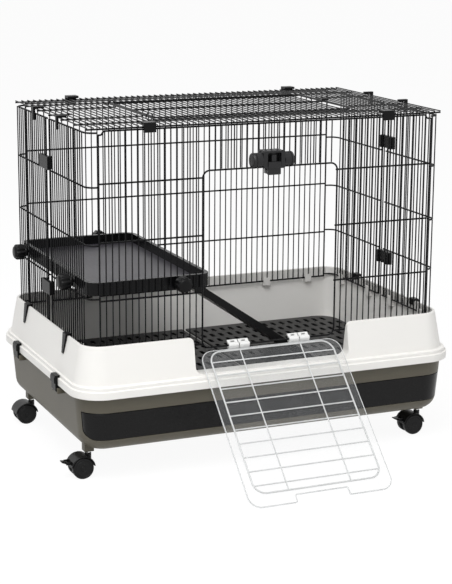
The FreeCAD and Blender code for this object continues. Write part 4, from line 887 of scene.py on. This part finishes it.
# Its ribs: the frame's edges and bend, the two long ribs, the bars across, and the lip's inset in its own radii
RIB_Y = DOOR_FACE + 0.7 * MM
RIB_FRAME_HALF = DOOR_HALF - 18 * MM
RIB_FRAME_LOW = DOOR_LOW + 4.5 * MM
RIB_FRAME_HIGH = DOOR_HIGH - 27.5 * MM
RIB_FRAME_BEND, RIB_X, RIB_BAR_FIRST, RIB_BAR_PITCH = mm(24, 65, 33.5, 30.1)
RIB_BARS = 10
LIP_INSET = 1.4
# Its hinge clips, seen along the rod, in millimetres: the grip round the rod, the rod's hole and the tail
CLIP_EYE = arc(4.4, spread(-math.pi / 3, math.pi / 2, 0.3))
CLIP_BACK = [(-2, 5.7), (-6, 5.7), (-6.3, 8), (-8.2, 8), (-8.2, -1), (-3.1, -3.1), (-2, -4.6)]
CLIP_GRIP = [(1.2, -4.6)] + CLIP_EYE + CLIP_BACK
CLIP_HOLE = arc(1.85, spread(0, 2 * math.pi, 0.4)[:-1])
CLIP_WHOLE = [(-2.4, -14), (1, -12)] + CLIP_GRIP + [(-2, -11)]
CLIP_MIDDLE = [(1.1, -6.4)] + CLIP_GRIP + [(-2, -6.4)]
CLIP_TAIL = [(-2.4, -14), (1, -12), (1.05, -9.4), (-2, -9.4), (-2, -11)]
# Slices of a clip along the rod, which leave a slot through its tail: place, width, outline and holes
CLIP_SLICES = ((-7.25, 6.5, CLIP_WHOLE, [CLIP_HOLE]), (0, 8, CLIP_MIDDLE, [CLIP_HOLE]), (0, 8, CLIP_TAIL, []),
               (7.25, 6.5, CLIP_WHOLE, [CLIP_HOLE]))
CLIP_STEP, CLIP_EASE = mm(11.5, 0.4)
ALONG_ROD = Matrix(((0, 0, 1), (1, 0, 0), (0, 1, 0))).to_4x4()


class CAGE_OT_door(Operator):
    """Clear ramp door with its pale ribs and white hinge clips"""

    bl_idname = "rabbit_cage.door"
    bl_label = "Ramp door"

    def execute(self, context):
        wires = settings().wires
        swing = Matrix.Translation((0, -wires.front_y, wires.door_low)) @ Matrix.Rotation(DOOR_SWING, 4, "X")
        place = swing @ Matrix.Translation((0, DOOR_FACE - DOOR_SHEET / 2, 0)) @ UPRIGHT
        mesh = sheet("door_sheet", self.outline(0), [], DOOR_SHEET, DOOR_EASE, place)
        piece("clear_door_sheet", mesh, "front_door", "clear_plastic", "clear", "edge")
        facing = swing.to_3x3() @ Vector((0, 1, 0))
        for face in mesh.polygons:
            face.material_index = 0 if abs(face.normal.dot(facing)) > FACING else 1
        self.ribs(swing)
        self.hinge_clips(swing)
        return {"FINISHED"}

    def outline(self, inset):
        """Edge of the door with its latch notch, drawn inside the true edge by an inset."""
        half, low, high, notch = DOOR_HALF - inset, DOOR_LOW + inset, DOOR_HIGH - inset, NOTCH_HALF + inset
        step = high - NOTCH_DEPTH
        edge = bent(((0, low, 0), (half, low, 0), (half, high, 0), (0, high, 0)), DOOR_CORNER - inset)[1:-1]
        edge += bent(((half, high, 0), (notch, high, 0), (notch, step, 0), (0, step, 0)), NOTCH_BEND, steps=4)[1:-1]
        return edge + [Vector((-x, y, z)) for x, y, z in reversed(edge)]

    def ribs(self, swing):
        """Frame rib, lip, long ribs and bars as round beads on the door's face."""
        forms, half, low, high = settings().forms, RIB_FRAME_HALF, RIB_FRAME_LOW, RIB_FRAME_HIGH
        lip = [(x, DOOR_FACE, z) for x, z, _ in self.outline(LIP_INSET * forms.door_lip)]
        runs = [hoop(half, low, high, RIB_Y, RIB_FRAME_BEND, forms.door_frame), (lip, forms.door_lip, True)]
        runs += [upright(x, RIB_Y, low, high, forms.door_rib) for x in (-RIB_X, RIB_X)]
        for number in range(RIB_BARS):
            z = RIB_BAR_FIRST + number * RIB_BAR_PITCH
            runs.append(straight((-half, RIB_Y, z), (half, RIB_Y, z), forms.door_rib))
        mesh = round_wires("door_ribs", runs)
        mesh.transform(swing)
        piece("clear_door_ribs", mesh, "front_door", "clear_plastic", "rib", extra=True)

    def hinge_clips(self, swing):
        """Snap clips round the hinge rod, each with a slot through its tail."""
        parts = []
        for hand in (-1, 1):
            for step in (-1, 1):
                for shift, width, outline, holes in CLIP_SLICES:
                    loops = [[(y * MM, z * MM, 0) for y, z in loop] for loop in [outline] + holes]
                    x = hand * RIB_X + step * CLIP_STEP + shift * MM
                    parts.append(sheet("clip_slice", loops[0], loops[1:], width * MM, CLIP_EASE,
                                       swing @ Matrix.Translation((x, 0, 0)) @ ALONG_ROD))
        piece("door_hinge_clip_set", joined("door_hinge_clip_set", parts), "door_hinge_clips", "white_plastic",
              "hinge")


# Latch: radius of its barrels, height of their axis, half its block, and the edges of the block and of its window
LATCH_BARREL, LATCH_AXIS, LATCH_BLOCK, LATCH_BEND, LATCH_EASE = mm(15, 16.5, 23, 4, 1.1)
WINDOW_HALF, WINDOW_DROP, WINDOW_HEAD, WINDOW_BEND = mm(14, 12, 4, 2.5)
# A barrel from its outer end to its long run: radius and height in millimetres
BARREL_PROFILE = [(0, 0), (12.4, 0), (14.2, 0.5), (15, 1.8), (15, 4.6), (13.8, 5.2), (13.8, 6.4), (14.8, 7)]
BARREL_RUN = 14.8
BARREL_SIDES = 48
# Blocks of the slide in millimetres: half width, or none for all of it, foot, head, front and back
SLIDE_BLOCKS = ((None, 0, 13, 0, 6), (None, 12, 25, -1, 6), (5, 24, 38, 3, 7))
SLIDE_BEND, SLIDE_EASE = mm(2, 1)
# Foot of the slide: its inset from the blocks, thickness, middle and edges
FOOT_INSET, FOOT_THICK, FOOT_MIDDLE, FOOT_BEND, FOOT_EASE = mm(1, 8, 5, 1.5, 0.8)


class CAGE_OT_latch(Operator):
    """Black door latch and its thumb slide"""

    bl_idname = "rabbit_cage.latch"
    bl_label = "Door latch"

    def execute(self, context):
        slide_low, slide_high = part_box("latch_slide")
        middle = (slide_low.x + slide_high.x) / 2
        for node, parts in (("latch_housing", self.housing(middle, slide_low.y)),
                            ("latch_slide", self.slide(middle, slide_low, slide_high))):
            name = f"{node}_moulding"
            piece(name, joined(name, parts), node, "black_gloss_plastic", "latch")
        return {"FINISHED"}

    def housing(self, middle, front):
        """Two barrels along the wires and a block between them with a window in its front."""
        low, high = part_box("latch_housing")
        axis_y, axis_z = high.y - LATCH_BARREL, low.z + LATCH_AXIS
        parts = []
        for start, end in ((low.x, middle - LATCH_BLOCK), (high.x, middle + LATCH_BLOCK)):
            span = abs(end - start) / MM
            barrel = turned("latch_barrel", BARREL_PROFILE + [(BARREL_RUN, span), (0, span)], BARREL_SIDES)
            turn = Matrix.Rotation(math.copysign(math.pi / 2, end - start), 4, "Y")
            barrel.transform(Matrix.Translation((start, axis_y, axis_z)) @ turn)
            parts.append(barrel)
        depth = (high.y - front) / 2
        outer = box_outline(-LATCH_BLOCK, axis_z - LATCH_BARREL, LATCH_BLOCK, high.z, LATCH_BEND)
        window = box_outline(-WINDOW_HALF, axis_z - WINDOW_DROP, WINDOW_HALF, high.z - WINDOW_HEAD, WINDOW_BEND)
        for holes, y in (([], high.y - depth / 2), ([window], front + depth / 2)):
            parts.append(sheet("latch_block", outer, holes, depth, LATCH_EASE,
                               Matrix.Translation((middle, y, 0)) @ UPRIGHT))
        return parts

    def slide(self, middle, low, high):
        """Grip, ledge and stem in the window, and the foot that reaches back under the block."""
        half = (high.x - low.x) / 2
        parts = []
        for width, foot, head, front, back in SLIDE_BLOCKS:
            reach = half if width is None else width * MM
            outline = box_outline(-reach, low.z + foot * MM, reach, low.z + head * MM, SLIDE_BEND)
            place = Matrix.Translation((middle, low.y + (front + back) / 2 * MM, 0)) @ UPRIGHT
            parts.append(sheet("slide_block", outline, [], (back - front) * MM, SLIDE_EASE, place))
        outline = box_outline(FOOT_INSET - half, FOOT_INSET, half - FOOT_INSET, high.y - low.y, FOOT_BEND)
        parts.append(sheet("slide_foot", outline, [], FOOT_THICK, FOOT_EASE,
                           Matrix.Translation((middle, low.y, low.z + FOOT_MIDDLE))))
        return parts


# Shelf: how far its floor lies under its rim
SHELF_DEPTH = 12 * MM
# A knob from its screw to its cap: radius, height and flute depth in millimetres
KNOB_PROFILE = ((0, -14), (3, -14), (3, 0), (10.2, 0), (10.8, 0.6), (10.8, 4.4), (10.4, 5), (13.4, 5),
                (15.2, 5.6, 0.6), (15.9, 7.2, 1.6), (15.9, 20.5, 1.8), (15.2, 22.6, 1.4), (13.6, 24, 0.8),
                (12.4, 24.1), (11.8, 25.4), (9.8, 26.4), (5, 26.9), (0, 27))
KNOB_WAYS = {"front": (0, -1, 0), "rear": (0, 1, 0), "left_front": (-1, 0, 0), "left_rear": (-1, 0, 0)}
FLUTE_STEPS = 12


class CAGE_OT_shelf(Operator):
    """Shelf, its fluted knobs and the ramp"""

    bl_idname = "rabbit_cage.shelf"
    bl_label = "Shelf and ramp"

    def execute(self, context):
        flutes = settings().forms.flutes
        shelf = eased("shelf", "shelf", "dark_shelf_plastic", ease=1.6 * MM, segments=3)
        shelf.data.materials.append(finish("rim"))
        # The floor's upward faces take the lighter shelf colour, a painted reflection; all other faces take the black
        # rim
        floor_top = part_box("shelf")[1].z - SHELF_DEPTH
        for face in shelf.data.polygons:
            face.material_index = 0 if face.normal.z > FACING and face.center.z < floor_top else 1
        eased("ramp", "clip", "black_plastic", ease=0.8 * MM)
        for side, way in KNOB_WAYS.items():
            node = f"shelf_knob_{side}"
            low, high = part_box(node)
            way = Vector(way)
            tip = (low + high) / 2 + way * abs(way.dot(high - low)) / 2
            mesh = turned(f"{node}_form", KNOB_PROFILE, FLUTE_STEPS * flutes, flutes)
            foot = Matrix.Translation(tip - way * KNOB_PROFILE[-1][1] * MM)
            mesh.transform(foot @ way.to_track_quat("Z", "Y").to_matrix().to_4x4())
            piece(f"{node}_moulding", mesh, node, "black_plastic", "clip", sharp=40)
        return {"FINISHED"}


class CAGE_OT_clips(Operator):
    """Black clips on the wires and the catches that hold the tub"""

    bl_idname = "rabbit_cage.clips"
    bl_label = "Clips and catches"

    def execute(self, context):
        clips = ["cage_clips", "top_clips", "side_clips", "seam_clips"]
        for node in clips + [f"tub_catch_{corner}" for corner in CORNERS]:
            eased(node, "clip", "black_plastic", ease=0.8 * MM)
        return {"FINISHED"}


# A wheel from its axle's hole over the tread to its outer face: radius and height in millimetres
WHEEL_PROFILE = ((0, 9.9), (2.6, 9.9), (2.6, 0.2), (19.2, 0), (20.4, 0.5), (21, 1.6), (21, 10), (20.5, 11.2),
                 (19.4, 11.9), (17.2, 12), (16.6, 11.3), (15.2, 11.2), (14.6, 11.7), (6.4, 11.9), (5.8, 11.4),
                 (4.8, 11.4), (4.3, 11.9), (0, 12))


class CAGE_OT_casters(Operator):
    """Twin-wheel casters with bright stems"""

    bl_idname = "rabbit_cage.casters"
    bl_label = "Casters"

    def execute(self, context):
        for corner in CORNERS:
            eased(f"caster_{corner}_yoke", "caster", "caster_plastic", ease=0.7 * MM)
            if corner.startswith("front"):
                eased(f"caster_{corner}_brake", "caster", "caster_plastic", ease=0.6 * MM)
            for way, side in ENDS:
                node = f"caster_{corner}_{side}_wheel"
                low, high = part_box(node)
                inner = high.y if way < 0 else low.y
                mesh = turned(f"{node}_form", WHEEL_PROFILE, settings().forms.wheel_sides)
                turn = Matrix.Rotation(-way * math.pi / 2, 4, "X")
                mesh.transform(Matrix.Translation(((low.x + high.x) / 2, inner, (low.z + high.z) / 2)) @ turn)
                piece(f"{node}_moulding", mesh, node, "caster_plastic", "tread")
        frame["nodes"]["caster_stems"].material_slots[0].material = finish("steel")
        return {"FINISHED"}


# Stage


# Camera fitted to the photo: the picture's height and focal length in pixels, turn, lift and roll in degrees, the
# point it looks at and its distance from there in metres
IMAGE_HEIGHT = 584
CAMERA_FOCAL = 1652.432
CAMERA_ANGLES = (-23.506, 13.292, 0.370)
CAMERA_TARGET = (-0.01838, -0.05740, 0.30596)
CAMERA_DISTANCE = 3.378545
CAMERA_SENSOR = 36
# Name, power setting, place and size of each lamp
LAMPS = (("key_light", "key", (-1.4, -2.2, 2.9), 2.4),
         ("fill_light", "fill", (2.6, -1.6, 1.6), 2.0),
         ("top_light", "top", (-0.9, -1.0, 2.6), 1.6))
FLOOR_REACH = 30.0
FLOOR_MATT = (0.93, 0.93, 0.93)
FLOOR_WHITE = 1.04


class CAGE_OT_stage(Operator):
    """Camera, soft studio light and pale floor"""

    bl_idname = "rabbit_cage.stage"
    bl_label = "Camera, light and floor"

    def execute(self, context):
        scene, stage = context.scene, settings().stage
        scene.view_settings.view_transform = "Standard"
        self.camera(scene)
        self.surround(scene, stage.surround)
        for name, setting, place, size in LAMPS:
            self.lamp(name, getattr(stage, setting), place, size)
        self.floor(stage.floor_glow)
        return {"FINISHED"}

    def camera(self, scene):
        data = configured(bpy.data.cameras.new("photo_camera"), sensor_width=CAMERA_SENSOR,
                          lens=CAMERA_SENSOR * CAMERA_FOCAL / IMAGE_HEIGHT, clip_end=100)
        turn, lift, roll = (math.radians(angle) for angle in CAMERA_ANGLES)
        camera = linked("photo_camera", data)
        aim = (Matrix.Rotation(turn, 4, "Z") @ Matrix.Rotation(math.pi / 2 - lift, 4, "X")
               @ Matrix.Rotation(roll, 4, "Z"))
        camera.matrix_world = Matrix.Translation(CAMERA_TARGET) @ aim @ Matrix.Translation((0, 0, CAMERA_DISTANCE))
        scene.camera = camera

    def surround(self, scene, level):
        """White where it is seen, and a softer light on the cage."""
        world = bpy.data.worlds.new("white_studio")
        world.use_nodes = True
        studio = Nodes(world.node_tree, "OutputWorld")
        strength = level + studio.backdrop_rays() * (1 - level)
        studio.show(studio.node("Background", {"Color": (1, 1, 1), "Strength": strength}))
        scene.world = world

    def lamp(self, name, watts, place, size):
        lamp = linked(name, configured(bpy.data.lights.new(name, "AREA"), energy=watts, size=size))
        lamp.location = place
        lamp.rotation_euler = (Vector(CAMERA_TARGET) - Vector(place)).to_track_quat("-Z", "Y").to_euler()

    def floor(self, glow_share):
        """Matt floor that takes the shadow, lifted towards white where it is seen."""
        mesh = bpy.data.meshes.new("studio_floor")
        corners = [(x * FLOOR_REACH, y * FLOOR_REACH, 0) for x, y in ((-1, -1), (1, -1), (1, 1), (-1, 1))]
        mesh.from_pydata(corners, [], [(0, 1, 2, 3)])
        floor = linked("studio_floor", mesh)
        made = Finish("studio_floor")
        matt = made.node("BsdfDiffuse", {"Color": FLOOR_MATT})
        glow = made.node("Emission", {"Color": (1, 1, 1), "Strength": FLOOR_WHITE})
        amount = made.backdrop_rays() * glow_share
        made.show(made.node("MixShader", {0: amount, 1: matt.outputs[0], 2: glow.outputs[0]}))
        mesh.materials.append(made.material)


# Add-on


STEPS = (CAGE_OT_front_wall, CAGE_OT_side_walls, CAGE_OT_doorway, CAGE_OT_roof, CAGE_OT_hatch, CAGE_OT_tub,
         CAGE_OT_base, CAGE_OT_grates, CAGE_OT_door, CAGE_OT_latch, CAGE_OT_shelf, CAGE_OT_clips, CAGE_OT_casters,
         CAGE_OT_stage)


class CAGE_PT_panel(Panel):
    """Lists the cage's settings and the steps that build it"""

    bl_idname = "CAGE_PT_panel"
    bl_label = "Rabbit cage"
    bl_space_type = "VIEW_3D"
    bl_region_type = "UI"
    bl_category = "Rabbit cage"

    def draw(self, context):
        cage = context.scene.rabbit_cage
        for step in STEPS:
            self.layout.operator(step.bl_idname)
        for group in (cage.wires, cage.forms, cage.finishes, cage.stage):
            box = self.layout.box()
            for name in group.__annotations__:
                box.prop(group, name)


CLASSES = (WireSettings, FormSettings, FinishSettings, StageSettings, CageSettings, *STEPS, CAGE_PT_panel)


def register():
    for each in CLASSES:
        bpy.utils.register_class(each)
    bpy.types.Scene.rabbit_cage = PointerProperty(type=CageSettings)


def unregister():
    del bpy.types.Scene.rabbit_cage
    for each in reversed(CLASSES):
        bpy.utils.unregister_class(each)


def main():
    register()
    for step in STEPS:
        group, name = step.bl_idname.split(".")
        getattr(getattr(bpy.ops, group), name)()


if __name__ == "__main__":
    main()
